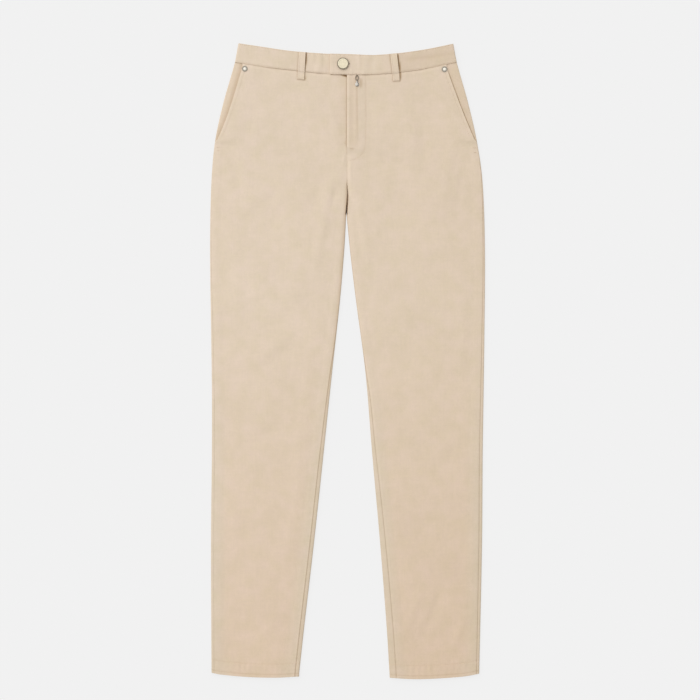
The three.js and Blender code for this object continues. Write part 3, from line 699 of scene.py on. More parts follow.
def front_detail(grid):
    leg = grid.leg
    top = ease(grid.nz, 0.1, 0.9)
    lift = drape(grid.x, grid.drop) + shoulder(leg, grid.x, grid.drop) + hem_form(grid) + waist_form(grid)
    at_mouth = 1 - ease(grid.row, MOUTH_DROP - 6, MOUTH_DROP + 6)
    mouth = 0.12 * (1 - ease(grid.low, MOUTH_STITCH - 1.5, MOUTH_STITCH + 1.5))
    mouth = mouth - 0.1 * bump(grid.low - MOUTH_STITCH, 1)
    mouth = mouth + pucker(grid.drop, np.abs(grid.low - 5), 11 + leg.side, 0.24, 8, 9)
    side = seam_form(grid.low) + pucker(grid.drop, grid.low, 13 + leg.side, 0.26)
    lift = lift + lerp(side, mouth, at_mouth)
    edge = rolled_edge(grid.low, lerp(SEAM_ROUND, EDGE_ROUND, at_mouth))
    below_fly = ease(grid.row, FLY_DROP - 4, FLY_DROP + 4)
    below_centre = ease(grid.row, FLY_DROP + 30, GROOVE_DROP + 25)
    inner = seam_form(grid.high) + pucker(grid.drop, grid.high, 17 + leg.side * (grid.row[0, 0] > 0), 0.24)
    inner = inner * lerp(0.3, 1, below_centre)
    if leg.side > 0:
        inside = inside_j(grid.x, grid.drop)
        ridge = bump(grid.x - FLY_RIDGE_X, 2.6) * (1 - ease(grid.drop, FLY_DROP - 14, FLY_DROP))
        fly = 0.25 * (1 - ease(grid.high, 4, 7)) + pucker(grid.drop, np.abs(grid.high - 3), 19, 0.16, 9, 10)
        lift = lift + lerp(fly, inner, below_fly) + 0.34 * ridge
        lift = lift + 0.22 * ease(inside, -0.5, 1.5) - 0.22 * bump(inside, 0.9)
    else:
        lift = lift + inner * below_fly
    free = (1 - below_fly) * (leg.side > 0)
    edge = np.minimum(edge, rolled_edge(grid.high, lerp(SEAM_ROUND, EDGE_ROUND, free)))
    edge = np.minimum(edge, rolled_edge(above_hem(grid)))
    edge = edge - 0.1 * bump(below_waist(grid), 0.7)
    return lift * top, edge


# Painted shade on the cloth towards a folded edge, between the legs and outside them: how much browner and
# darker it is painted there
def fold_edge_painted_shade(leg, x, drop):
    u = leg.side * x
    inner = u - np.where(drop < LEGS_PART_DROP, leg.side * centre_x(drop), leg.inside_leg(drop))
    outer = leg.outline(drop) - u
    strength = FOLD_EDGE_PAINTED_SHADE[leg.name]
    fade = ease(drop, GROOVE_DROP, CROTCH_DROP) * lerp(1, strength["low"], ease(drop, 330, 760))
    tone = strength["inner"] * fade * (1 - ease(inner, 0.5, strength["width"]))
    return tone + strength["outer"] * (1 - ease(outer, 0, 4)) * ease(drop, MOUTH_DROP, GROOVE_DROP)


# Brown shade in the crevice where the thighs meet, and its darkest part
def crevice(leg, x, drop):
    contact = np.where(drop < LEGS_PART_DROP, centre_x(drop), leg.side * leg.inside_leg(drop))
    contact = contact - 0.4 * (1 - ease(drop, CREVICE_DROP, CROTCH_DROP))
    away = np.abs(x - contact)
    opens = ease(drop, CREVICE_DROP, CREVICE_DROP + 36)
    ends = 1 - ease(drop, LEGS_PART_DROP - 1, LEGS_PART_DROP + 4)
    brown = (
        1 - ease(away, 0.2 + 0.7 * opens, 0.9 + 1.4 * opens)
    ) * ease(drop, CREVICE_DROP - 3, CREVICE_DROP + 6)
    deepens = ease(drop, CROTCH_DROP - 4, LEGS_PART_DROP - 4)
    dark = (
        1 - ease(away, 0.6 * deepens, 0.3 + 1.3 * deepens)
    ) * ease(drop, CROTCH_DROP - 6, CROTCH_DROP + 16)
    return (2.4 * brown + 4.8 * dark) * ends


# Worn pale along the edges of the lower legs and the hems
def pale_tone(grid):
    u = grid.leg.side * grid.x
    inner = np.where(grid.drop > LEGS_PART_DROP, u - grid.leg.inside_leg(grid.drop), EDGE_BLEND)
    nearest = np.minimum(inner, grid.leg.outline(grid.drop) - u)
    beside = (1 - ease(nearest, 4, 34)) * ease(grid.drop, 420, 900)
    at_hem = 1 - ease(above_hem(grid), HEM_DEPTH - 2, HEM_DEPTH + 14)
    return np.maximum(beside, 0.9 * at_hem * (1 - ease(nearest, 10, 50)))


# The shade of the charm on the cloth beside it
def charm_tone(x, drop):
    beside = bump(x - CHARM.x - 7, 1.6) * ease(drop, 58, 66) * (1 - ease(drop, 72, 78))
    return 0.7 * beside + 0.3 * bump(x - CHARM.x, 6) * bump(drop - 66, 8)


# Where a belt loop's tail shades the panel: to its right and under its foot
def tail_tone(x, below):
    tone = 0
    for loop, shade in zip(LOOPS, LOOP_SHADES):
        right = loop["foot_x"] + LOOP_WIDTH / 2
        left = loop["foot_x"] - LOOP_WIDTH / 2
        on_tail = 1 - ease(below, LOOP_TAIL - 1, LOOP_TAIL + 0.5)
        beside = (1 - ease(x - right, 0.8, 2.6)) * ease(x - right, -1.4, -0.4) * on_tail
        before = (1 - ease(left - x, 0.3, 2.4)) * ease(left - x, -1.4, -0.4) * on_tail
        foot = bump(below - LOOP_TAIL - 0.3, 0.7) * (np.abs(x - loop["foot_x"]) < LOOP_WIDTH / 2)
        tone = tone + 1.9 * beside + shade["before"] * before + 0.7 * foot
    return tone


# How the cloth is painted: darker along its seam lines, with painted shade and painted shadows in the
# crevice, beside the fly, under the waistband's end, by the belt loops and the charm and towards folded
# edges; lighter on rubbed edges and with painted highlights on lit ridges; paler on the lower legs
def front_marks(grid):
    leg = grid.leg
    at_mouth = 1 - ease(grid.row, MOUTH_DROP - 6, MOUTH_DROP + 6)
    above_fly = 1 - ease(grid.row, FLY_DROP - 6, FLY_DROP + 2)
    below_centre = ease(grid.row, FLY_DROP + 40, LEGS_PART_DROP - 14)
    side = bump(grid.low, 0.8) * lerp(SIDE_SEAM_TONE[leg.name], 0.1, at_mouth)
    strong = lerp(0.6, INSEAM_TONE[leg.name], ease(grid.drop, 420, 560))
    inner = bump(grid.high, 0.8) * lerp(0.1, strong, below_centre) * (1 - above_fly)
    below = below_waist(grid)
    beside_fly = bump(grid.x - 32, 34)
    crease = side + inner + 0.3 * bump(below, 0.6) * (1 - 0.6 * beside_fly) + tail_tone(grid.x, below)
    crease = crease + 0.1 * bump(above_hem(grid) - HEM_DEPTH, 0.9)
    crease = crease + 0.25 * bump(above_hem(grid) - HEM_EDGE_LINE, 0.9)
    crease = crease + fold_edge_painted_shade(leg, grid.x, grid.drop)
    # Lighter: rubbed edges, and painted highlights on the lit ridges beside the pocket mouth, below the
    # waist seam, beside the inseam and beside the centre seam below the fly
    worn_and_lit = (
        0.7 * bump(grid.low - 1.5, 1.3) * at_mouth + 0.4 * bump(above_hem(grid), 1.6)
        + 0.7 * bump(below - 3.2, 1.6)
    )
    worn_and_lit = worn_and_lit + 0.8 * bump(grid.high - 2.4, 1) * (1 - above_fly) * below_centre
    worn_and_lit = (
        worn_and_lit
        + 1.3 * bump(grid.x - CENTRE_X - 5, 3) * ease(
            grid.row, FLY_DROP + 8, FLY_DROP + 30
        ) * (grid.drop < CROTCH_DROP)
    )
    if leg.side > 0:
        # Painted highlight on the fly's rolled free edge and beside its ridge, on rubbed cloth
        worn_and_lit = (
            worn_and_lit + bump(grid.high - 1.5, 1.5) * above_fly
            + 0.8 * bump(grid.x - FLY_RIDGE_X + 4.5, 1.5) * above_fly
        )
        crease = crease + 0.12 * bump(inside_j(grid.x, grid.drop), 0.7)
        crease = crease + 0.4 * bump(grid.x - FLY_RIDGE_X, 0.9) * above_fly
        placket = ease(grid.high, 3, 5) * (1 - ease(grid.x, FLY_RIDGE_X - 2, FLY_RIDGE_X))
        crease = crease + 0.15 * placket * above_fly
        tack = bump(grid.x - FLY_TACK.x, FLY_TACK.half) * bump(grid.drop - FLY_TACK.drop, 1.6)
        crease = crease + 0.4 * tack
    else:
        # Painted shade on the cloth beside the fly's free edge, which laps over it
        beside = CENTRE_X - 0.2 - grid.x
        shade = (
            0.09 * (1 - ease(beside, 5, 22)) + 0.1 * (1 - ease(beside, 0, 5))
            + 0.9 * (1 - ease(beside, 0.2, 1.6))
        )
        crease = crease + shade * above_fly
        # Painted shadow below the waist seam, under the overlapping end of the waistband
        wedge = ease(grid.x, WEDGE_FROM, CENTRE_X)
        crease = crease + 2.9 * (1 - ease(below, 2.2 * wedge, 1 + 3.6 * wedge)) * wedge
    crease = crease + crevice(leg, grid.x, grid.drop) + charm_tone(grid.x, grid.drop)
    return {"crease": crease, "wear": worn_and_lit, "pale": pale_tone(grid)}


def back_detail(grid):
    leg = grid.leg
    top = ease(grid.nz, 0.1, 0.9)
    under = ease(-grid.nz, 0.5, 1)
    on_top = drape(grid.x, grid.drop) + shoulder(leg, grid.x, grid.drop) + hem_form(grid)
    beside = pucker(grid.drop, grid.high, 13 + leg.side, 0.26) * (grid.high < grid.low)
    beside = beside + pucker(grid.drop, grid.low, 17 + leg.side, 0.24) * (grid.low <= grid.high)
    nearest = np.minimum(grid.low, grid.high)
    on_top = on_top + beside + seam_form(nearest)
    dents = 1.3 * crease_rise(BACK_CREASES, grid.x, grid.drop)
    dents = (
        dents - 0.14 * (1 + noise(grid.x, grid.drop, 40, 21))
        - 0.05 * (1 + noise(grid.x, grid.drop, 15, 22))
    )
    up = above_hem(grid)
    dents = dents - 0.3 * bump(up - HEM_DEPTH, 1.1) - 0.12 * ease(up, HEM_DEPTH - 1, HEM_DEPTH + 1)
    at_centre = 1 - ease(grid.row, GROOVE_DROP, CROTCH_DROP)
    dents = dents - 0.45 * bump(grid.low, 1.4) * at_centre
    dents = dents - 0.3 * bump(below_waist(grid), 2)
    edge = np.minimum(rolled_edge(grid.low, SEAM_ROUND), rolled_edge(grid.high, SEAM_ROUND))
    edge = np.minimum(edge, rolled_edge(up))
    return on_top * top + dents * under, edge


# The back painted the same way: darker seam lines, painted shade towards folded edges and in the crevice,
# and a lighter rubbed hem edge
def back_marks(grid):
    crease = SIDE_SEAM_TONE[grid.leg.name] * bump(grid.high, 0.8) + 0.6 * bump(grid.low, 0.8)
    crease = crease + 0.1 * bump(above_hem(grid) - HEM_DEPTH, 0.9)
    crease = crease + 0.25 * bump(above_hem(grid) - HEM_EDGE_LINE, 0.9)
    crease = crease + fold_edge_painted_shade(grid.leg, grid.x, grid.drop)
    crease = crease + crevice(grid.leg, grid.x, grid.drop)
    return {"crease": crease, "wear": 0.4 * bump(above_hem(grid), 1.6), "pale": pale_tone(grid)}


# A closed sheet between a grid of outer points and the same grid moved in by the wall
def shell(name, outer, inner, marks=None):
    rows, wide = outer.shape[:2]
    points = np.concatenate([outer.reshape(-1, 3), inner.reshape(-1, 3)])
    ids = np.arange(rows * wide).reshape(rows, wide)
    low = ids + rows * wide

    def quads(a, b, c, d):
        return np.stack([x.ravel() for x in (a, b, c, d)], 1)

    faces = np.concatenate(
        [
            quads(ids[:-1, :-1], ids[:-1, 1:], ids[1:, 1:], ids[1:, :-1]),
            quads(low[:-1, :-1], low[1:, :-1], low[1:, 1:], low[:-1, 1:]),
            quads(ids[0, :-1], low[0, :-1], low[0, 1:], ids[0, 1:]),
            quads(ids[-1, :-1], ids[-1, 1:], low[-1, 1:], low[-1, :-1]),
            quads(ids[:-1, 0], ids[1:, 0], low[1:, 0], low[:-1, 0]),
            quads(ids[:-1, -1], low[:-1, -1], low[1:, -1], ids[1:, -1]),
        ]
    )
    corners = points[faces]
    volume = np.einsum("ij,ij->", corners[:, 0], np.cross(corners[:, 1], corners[:, 2]))
    volume += np.einsum("ij,ij->", corners[:, 0], np.cross(corners[:, 2], corners[:, 3]))
    if volume < 0:
        faces = faces[:, ::-1]
    obj = mesh_object(name, points, faces)
    for label, values in (marks or {}).items():
        layer = obj.data.attributes.new(label, "FLOAT", "POINT")
        values = np.concatenate([values.ravel(), 0 * values.ravel()])
        layer.data.foreach_set("value", values.astype(np.float32))
    return obj


def mesh_object(name, points, faces):
    mesh = bpy.data.meshes.new(name)
    placed = (points - np.array([MIDDLE_X, 0, 0])) * MM
    mesh.from_pydata(placed.tolist(), [], faces if isinstance(faces, list) else faces.tolist())
    mesh.update()
    mesh.shade_smooth()
    mesh.set_sharp_from_angle(angle=math.radians(50))
    obj = bpy.data.objects.new(name, mesh)
    bpy.context.scene.collection.objects.link(obj)
    return obj


def moved(grid, by):
    x = grid.x + by * grid.nx
    return np.stack([x, LENGTH / 2 - grid.drop_at(x), grid.z + by * grid.nz], -1)


def cloth(name, grid, lift, edge, wall, marks):
    return shell(name, moved(grid, lift + edge), moved(grid, lift - wall - 0.4 * edge), marks)


def front(leg):
    def row_of(cut):
        line = front_path(leg, cut, front_inner(leg, cut), overlap_rise)
        end = line.length - (leg.inseam(cut.row) + SEAM_GAP / 2) * (cut.row > CROTCH_DROP)
        return line, columns(front_start(leg, cut) + SEAM_GAP / 2, end, EDGE_COLUMNS, FRONT_COLUMNS)

    grid = panel_grid(leg, panel_rows(HEM_ROW), row_of)
    lift, edge = front_detail(grid)
    return cloth("front_" + leg.name + "_cloth", grid, lift, edge, CLOTH, front_marks(grid))


def back(leg):
    def row_of(cut):
        line = back_path(leg, cut)
        low = 0
        if cut.dip >= 1:
            low = line.flat_start - math.pi / 2 * cut.radius - leg.inseam(cut.row) + SEAM_GAP / 2
        flat_end = line.rim - math.pi / 2 * cut.radius
        high = line.rim + leg.side_seam(cut.row) - SEAM_GAP / 2
        rim = np.array([0, 0.12, 0.3, 0.55])
        first = line.flat_start - low > 1.2
        near = low + rim * (1 if first else 0.1)
        return line, np.concatenate(
            [
                near,
                np.linspace(near[-1], line.flat_start, BACK_ROLL + 1)[1:],
                np.linspace(line.flat_start, flat_end, BACK_ACROSS + 1)[1:],
                np.linspace(flat_end, high - 0.9, BACK_ROLL + 1)[1:],
                high - rim[::-1],
            ]
        )

    grid = panel_grid(leg, panel_rows(HEM_ROW), row_of)
    lift, edge = back_detail(grid)
    return cloth("back_" + leg.name + "_cloth", grid, lift, edge, CLOTH, back_marks(grid))


def pocket_facing(leg):
    def row_of(cut):
        line = front_path(leg, cut, cut.inner, no_rise)
        underlap = lerp(FACING_UNDERLAP, 0.2, ease(cut.row, MOUTH_DROP - 9, MOUTH_DROP))
        end = front_start(leg, cut) + underlap
        return line, lerp(SEAM_GAP / 2, end, 0.5 - 0.5 * np.cos(np.linspace(0, np.pi, 36)))

    grid = panel_grid(leg, panel_rows(MOUTH_DROP + MOUTH_END - 1), row_of)
    lift = drape(grid.x, grid.drop) + shoulder(leg, grid.x, grid.drop) + waist_form(grid)
    lift = lift * ease(grid.nz, 0.1, 0.9)
    mouth = np.array([front_start(leg, section(leg, row)) for row in grid.row[:, 0]])[:, None]
    into = mouth - grid.low
    tone = MOUTH_TONE[leg.name]
    below_tack = ease(grid.row, 54, 64)
    # Painted shade on the facing under the front's edge at the mouth: a wide soft part and a thin dark line
    shade = tone["wide"] * (1 - ease(into, 1, 10)) + tone["line"] * (1 - ease(into, 0.1, 1.7)) * below_tack
    marks = {"crease": shade, "wear": 0 * shade, "pale": 0 * shade}
    return cloth("pocket_facing_" + leg.name + "_cloth", grid, lift, rolled_edge(grid.low), CLOTH, marks)


# Height of the front's surface, overlaps included, at one place on it
def surface(x, drop):
    leg = LEGS[0] if x < CENTRE_X else LEGS[1]
    row = drop
    for _ in range(5):
        row = drop - (row_drop(row, x) - row)
    cut = section(leg, row)
    u = np.array(leg.side * x)
    return float(front_height(leg, cut, u) + overlap_rise(leg, cut, u))


# The waistband's height at x, where one end lies over the other
def band_height(leg, x):
    if leg.side < 0:
        return BAND_TOP - TUCK * ease(x, TUCK_FROM, TUCK_TO)
    return BAND_TOP + (BAND_CLOTH + GAP - TUCK) * (1 - ease(x, RIDE_TO, RIDE_FROM))


# A row of the waistband, from 0 at its top edge to 1 at its seam
def band_drop(x, v):
    return lerp(waist_top(x), waist_seam(x) - SEAM_GAP / 2, v)


def band_path(leg, v):
    radius = (BAND_TOP - BACK_LIFT) / 2
    middle = leg.side * leg.outline(band_drop(leg.side * leg.outline(0), v))
    edge = leg.outline(band_drop(middle, v)) - radius
    centre = leg.side * CENTRE_X + SEAM_GAP / 2
    end = leg.side * BAND_END[leg.name]
    line = measured(
        [
            np.array([[centre, BACK_LIFT]]),
            stretch(centre, edge, lambda u: BACK_LIFT + 0 * u),
            arc(edge, BACK_LIFT + radius, radius, -90, 90, 1),
            stretch(edge, end, lambda u: band_height(leg, leg.side * u)),
            np.array([[end, float(band_height(leg, np.array(float(BAND_END[leg.name]))))]]),
        ]
    )
    line.fold_end = line.at[STRETCH_STEPS + ARC_STEPS]
    line.fold_start = line.fold_end - math.pi * radius
    return line


# Half of the waistband: from the centre back round the side to its end at the centre front
def waistband(leg):
    edges = np.array([0, 0.1, 0.25, 0.45, 0.7, 1.1, 1.5, 1.9, 2.3, 2.9])
    height = BAND_HEIGHT
    v = np.concatenate([edges, np.linspace(4, height - 4, 24), height - edges[::-1]]) / height
    near_end = 75
    u, z, nu, nz, low, high = [], [], [], [], [], []
    for share in v:
        line = band_path(leg, share)
        s = np.concatenate(
            [
                edges,
                np.linspace(4, line.fold_start, 60),
                np.linspace(line.fold_start, line.fold_end, 16)[1:],
                np.linspace(line.fold_end, line.length - near_end, 60)[1:],
                np.linspace(line.length - near_end, line.length - 4, 120)[1:],
                line.length - edges[::-1],
            ]
        )
        for values, value in zip((u, z, nu, nz), points_at(line, s)):
            values.append(value)
        low.append(s)
        high.append(line.length - s)
    u, z, nu, nz, low, high = (np.array(values) for values in (u, z, nu, nz, low, high))
    x = leg.side * u
    share = np.broadcast_to(v[:, None], x.shape)
    drop = band_drop(x, share)
    grid = SimpleNamespace(x=x, drop=drop, drop_at=lambda _: drop, z=z, nx=leg.side * nu, nz=nz)
    from_top = share * height
    from_seam = height - from_top
    on_front = ease(nz, 0.1, 0.9)
    on_back = ease(-nz, 0.5, 1)
    ripple = pucker(x, np.minimum(from_top, from_seam), 31, 0.24, 14, 10) + 0.2 * noise(x, from_top, 19, 32)
    ripple = ripple + 0.6 * noise(x, from_top * 0.3, 6.5, 33) * (bump(x + 42, 22) + 0.7 * bump(x - 22, 24))
    ripple = ripple - 0.35 * (1 - ease(from_seam, 0, 2.4))
    ripple = ripple - 0.5 * bump(from_seam - 19 + 0.06 * (x - 130), 5) * bump(x - 135, 42)
    groove = 0.28 * (bump(from_top - BAND_STITCH, 0.7) + bump(from_seam - BAND_STITCH, 0.7))
    lift = (ripple - groove + 0.1 * (1 - ease(from_top, 0.5, 2))) * on_front
    lift = lift - (groove + 0.12 * (1 + noise(x, from_top, 24, 34))) * on_back
    # thread and shank pull the cloth in round the button
    pull = np.hypot(x - BUTTON.x, drop - BUTTON.drop)
    lift = lift - 0.25 * bump(pull, 9) * on_front
    edge = np.minimum(rolled_edge(from_top, 0.9), rolled_edge(from_seam, 0.8))
    edge = np.minimum(edge, rolled_edge(high, 0.9))
    edge = np.minimum(edge, rolled_edge(low, 0.5))
    # Painted on the band: its darker seam line, darker from X = 60 outwards, painted shade in the trough of
    # a wrinkle, painted light and shade on its puckers, painted shadows beside the front loops and painted
    # shade in the buttonhole
    seams_and_painted_shade = bump(from_seam, 0.6) * 0.35 * (1 - bump(x + 24, 8)) + 0.13 * ease(x, 60, 100) * on_front
    seams_and_painted_shade = seams_and_painted_shade + 0.16 * bump(from_seam - 19 + 0.06 * (x - 130), 4) * bump(x - 135, 42) * on_front
    seams_and_painted_shade = seams_and_painted_shade + 0.12 * noise(x, from_top * 0.3, 7, 35) * bump(x - 40, 34) * on_front
    # Painted shadow right of each front loop, and painted shade left of it
    for loop, shade in zip(LOOPS, LOOP_SHADES):
        right = lerp(loop["top_x"], loop["foot_x"] - 0.5, share) + LOOP_WIDTH / 2
        wide = shade["width"] * (0.45 + 0.55 * np.sin(np.pi * share))
        seams_and_painted_shade = (
            seams_and_painted_shade + 2.7 * (1 - ease(x - right, 0.45 * wide, wide)) * ease(x - right, -1.5, -0.5) * on_front
        )
        left = lerp(loop["top_x"], loop["foot_x"], share) - LOOP_WIDTH / 2
        seams_and_painted_shade = (
            seams_and_painted_shade + shade["before"] * (1 - ease(left - x, 0.4, 3)) * ease(left - x, -1.5, -0.5) * on_front
        )
    if leg.side > 0:
        half = BUTTONHOLE.width / 2
        nearest = np.clip(x, BUTTONHOLE.left + half, BUTTONHOLE.right - half)
        hole = np.hypot(x - nearest, drop - BUTTON.drop)
        inside = (1 - ease(hole, 0.5, half * 0.7)) * on_front
        edge = edge - (BAND_CLOTH - 0.4) * inside
        lift = lift + 0.25 * bump(hole - half, 0.7) * on_front
        # Painted shade inside the buttonhole
        seams_and_painted_shade = seams_and_painted_shade + 2 * inside
    # Lighter along the band's top edge and its end: rubbed cloth with a painted highlight
    worn_and_lit = bump(from_top, 1.6) + bump(high, 1.5)
    marks = {"crease": seams_and_painted_shade, "wear": 0.5 * worn_and_lit, "pale": 0 * seams_and_painted_shade}
    return cloth("waistband_" + leg.name + "_cloth", grid, lift, edge, BAND_CLOTH, marks)


# A belt loop: from the band's top edge down its face, and a tail on the panel below
def belt_loop(name, face, top_x, foot_x):
    up = 1 if face == "front" else -1
    base = BAND_TOP if face == "front" else BACK_LIFT
    off = GAP + LOOP_CLOTH / 2
    tail = surface(foot_x, waist_seam(foot_x) + LOOP_TAIL) - BAND_TOP if face == "front" else 0
    bow = LOOP_BOW if face == "front" else 0

    route = [
        dict(
            line=lambda x, v=v: band_drop(x, v), past=0, h=off + bow * math.sin(math.pi * v)
        ) for v in LOOP_STOPS
    ]
    route.append(dict(line=waist_seam, past=2.4, h=off + tail))
    route.append(dict(line=waist_seam, past=LOOP_TAIL, h=off + tail))
    drops = np.array([stop["line"](top_x) + stop["past"] for stop in route])
    centres = lerp(top_x, foot_x, (drops - drops[0]) / (drops[-1] - drops[0]))
    half = LOOP_WIDTH / 2
    across = np.array([0, 0.12, 0.3, 0.55, 0.9, 1.3, 1.7, 2.2, 3, 4, 5, half])
    across = np.concatenate([across - half, (half - across[:-1])[::-1]])
    stops = np.arange(len(route))
    spans = [np.linspace(k, k + 1, 10, endpoint=False) for k in stops[:-1]]
    fine = np.concatenate([*spans, [len(route) - 1]])
    x = np.array([np.interp(fine, stops, centres + offset) for offset in across]).T
    drop = np.zeros_like(x)
    for j, offset in enumerate(across):
        at = [stop["line"](centre + offset) + stop["past"] for stop, centre in zip(route, centres)]
        drop[:, j] = np.interp(fine, stops, at)
    h = np.interp(fine, stops, [stop["h"] for stop in route])
    h = np.convolve(np.pad(h, 2, "edge"), np.ones(5) / 5, "valid")
    down = np.gradient(drop, axis=0)
    rise = np.gradient(h)[:, None] + 0 * down
    run = np.hypot(down, rise)
    n_drop, n_h = -rise / run, down / run
    from_edge = half - np.abs(np.broadcast_to(across, x.shape))
    lift = (
        0.22 * bump(from_edge - 1, 0.9) - 0.16 * bump(from_edge - 2.2, 0.5) + 0.05 * noise(x, drop, 5, 41)
    )
    end = drop[-1:, :] - drop
    edge = np.minimum(rolled_edge(from_edge, 0.6), rolled_edge(end, 0.6))
    lift = lift - 0.25 * bump(end - 2, 0.8)
    if face == "back":
        lift = lift - 0.55

    def at(by):
        return np.stack([x, LENGTH / 2 - (drop + by * n_drop), base + up * (h[:, None] + by * n_h)], -1)

    wall = LOOP_CLOTH / 2
    # Painted shade at the loop's end; the loop painted lighter, most near its edges: rubbed cloth with a
    # painted highlight
    marks = {"crease": 0.3 * bump(end, 1), "wear": 0.4 + 0.6 * bump(from_edge - 1.4, 1), "pale": 0 * x}
    return shell(name + "_cloth", at(wall + lift + edge), at(-wall - 0.5 * edge), marks)


# Thread laid in stitches along a line of places (x, drop) on the front (side 1) or the back (side -1)
def stitches(name, lines, trees, pitch=STITCH + STITCH_GAP, long=STITCH, radius=THREAD):
    points, faces = [], []
    sides = 5
    for line, side in lines:
        line = np.array(line, float)
        at = np.concatenate([[0], np.cumsum(np.hypot(*np.diff(line, axis=0).T))])
        for start in np.arange(pitch / 2, at[-1] - long, pitch):
            s = start + long * np.array([0, 0.25, 0.75, 1])
            x, drop = np.interp(s, at, line[:, 0]), np.interp(s, at, line[:, 1])
            hits = [cast(trees, a, b, side) for a, b in zip(x, drop)]
            if None in hits:
                continue
            raised = radius * np.array([-0.9, 0.5, 0.5, -0.9]) * side
            spots = np.stack([x, LENGTH / 2 - drop, np.array(hits) + raised], 1)
            along = (spots[-1] - spots[0]) / np.linalg.norm(spots[-1] - spots[0])
            beside = np.cross(along, [0, 0, 1.0])
            beside /= np.linalg.norm(beside)
            above = np.cross(beside, along)
            first = len(points)
            for k, spot in enumerate(spots):
                thick = radius * (0.55 if k in (0, 3) else 1)
                for j in range(sides):
                    angle = 2 * math.pi * j / sides
                    points.append(spot + thick * (math.cos(angle) * beside + math.sin(angle) * above))
            faces += tube_faces(len(spots), sides, first)
    return mesh_object(name, np.array(points), faces)


def cast(trees, x, drop, side):
    origin = Vector(((x - MIDDLE_X) * MM, (LENGTH / 2 - drop) * MM, 0.05 * side))
    best = None
    for tree in trees:
        spot = tree.ray_cast(origin, Vector((0, 0, -side)))[0]
        if spot is not None and (best is None or side * spot.z > side * best):
            best = spot.z
    return None if best is None else best / MM


def tree_of(obj):
    mesh = obj.data
    return BVHTree.FromPolygons([v.co for v in mesh.vertices], [p.vertices for p in mesh.polygons])


# Faces of a tube through rings of points, which has caps unless it closes on itself
def tube_faces(rings, sides, first=0, closed=False):
    faces = []
    for k in range(rings if closed else rings - 1):
        for j in range(sides):
            a, b = k * sides + j, k * sides + (j + 1) % sides
            quad = (a, b, (b + sides) % (rings * sides), (a + sides) % (rings * sides))
            faces.append([first + corner for corner in quad])
    if not closed:
        faces.append([first + j for j in reversed(range(sides))])
        faces.append([first + (rings - 1) * sides + j for j in range(sides)])
    return faces


# A body turned about a vertical axis, from its profile of radius and height
def turned(name, profile, x, drop, base, segments=72):
    angle = np.linspace(0, 2 * math.pi, segments, endpoint=False)
    points = []
    for radius, height in profile:
        y = LENGTH / 2 - drop + radius * np.sin(angle)
        points.append(np.stack([x + radius * np.cos(angle), y, base + height + 0 * angle], 1))
    return mesh_object(name, np.concatenate(points), tube_faces(len(profile), segments))


# Round wire along points; closed where its ends meet
def wire(name, points, radius, closed, sides=12, flat=(0, 0, 1)):
    points = np.array(points, float)
    count = len(points)
    rings = []
    for k in range(count):
        if closed:
            along = points[(k + 1) % count] - points[k - 1]
        else:
            along = points[min(k + 1, count - 1)] - points[max(k - 1, 0)]
        along = along / np.linalg.norm(along)
        beside = np.cross(along, flat)
        beside /= np.linalg.norm(beside)
        above = np.cross(beside, along)
        angle = np.linspace(0, 2 * math.pi, sides, endpoint=False)[:, None]
        rings.append(points[k] + radius * (np.cos(angle) * beside + np.sin(angle) * above))
    return mesh_object(name, np.concatenate(rings), tube_faces(count, sides, closed=closed))


# Materials
def node_tree(name):
    material = bpy.data.materials.new(name)
    material.use_nodes = True
    tree = material.node_tree
    shader = tree.nodes["Principled BSDF"]
    return material, tree, shader


def math_node(tree, operation, a, b, clamp=False):
    node = tree.nodes.new("ShaderNodeMath")
    node.operation = operation
    node.use_clamp = clamp
    for socket, value in zip(node.inputs, (a, b)):
        if isinstance(value, (int, float)):
            socket.default_value = value
        else:
            tree.links.new(value, socket)
    return node.outputs[0]


def noise_node(tree, coordinates, size_mm, detail=2.0, rough=0.5):
    node = tree.nodes.new("ShaderNodeTexNoise")
    node.inputs["Scale"].default_value = 1 / (size_mm * MM)
    node.inputs["Detail"].default_value = detail
    node.inputs["Roughness"].default_value = rough
    tree.links.new(coordinates, node.inputs["Vector"])
    return node.outputs["Fac"]


# Diagonal ribs of a twill, `pitch` millimetres apart
def rib_node(tree, coordinates, pitch, turn):
    mapping = tree.nodes.new("ShaderNodeMapping")
    mapping.inputs["Rotation"].default_value[2] = math.radians(turn)
    tree.links.new(coordinates, mapping.inputs["Vector"])
    node = tree.nodes.new("ShaderNodeTexWave")
    node.inputs["Scale"].default_value = 2 * math.pi / (20 * pitch * MM)
    node.inputs["Distortion"].default_value = 0.6
    node.inputs["Detail"].default_value = 1
    node.inputs["Detail Scale"].default_value = 0.6
    tree.links.new(mapping.outputs["Vector"], node.inputs["Vector"])
    return node.outputs["Fac"]


def attribute_node(tree, name):
    node = tree.nodes.new("ShaderNodeAttribute")
    node.attribute_name = name
    return node.outputs["Fac"]


def mix_colours(tree, factor, a, b):
    node = tree.nodes.new("ShaderNodeMix")
    node.data_type = "RGBA"
    tree.links.new(factor, node.inputs["Factor"])
    for name, value in (("A", a), ("B", b)):
        if isinstance(value, tuple):
            node.inputs[name].default_value = (*value, 1)
        else:
            tree.links.new(value, node.inputs[name])
    return node.outputs["Result"]


def multiply_colours(tree, a, b):
    node = tree.nodes.new("ShaderNodeVectorMath")
    node.operation = "MULTIPLY"
    tree.links.new(a, node.inputs[0])
    tree.links.new(b, node.inputs[1])
    return node.outputs["Vector"]


def tinted(colour, tint):
    return tuple(c * t for c, t in zip(colour, tint))


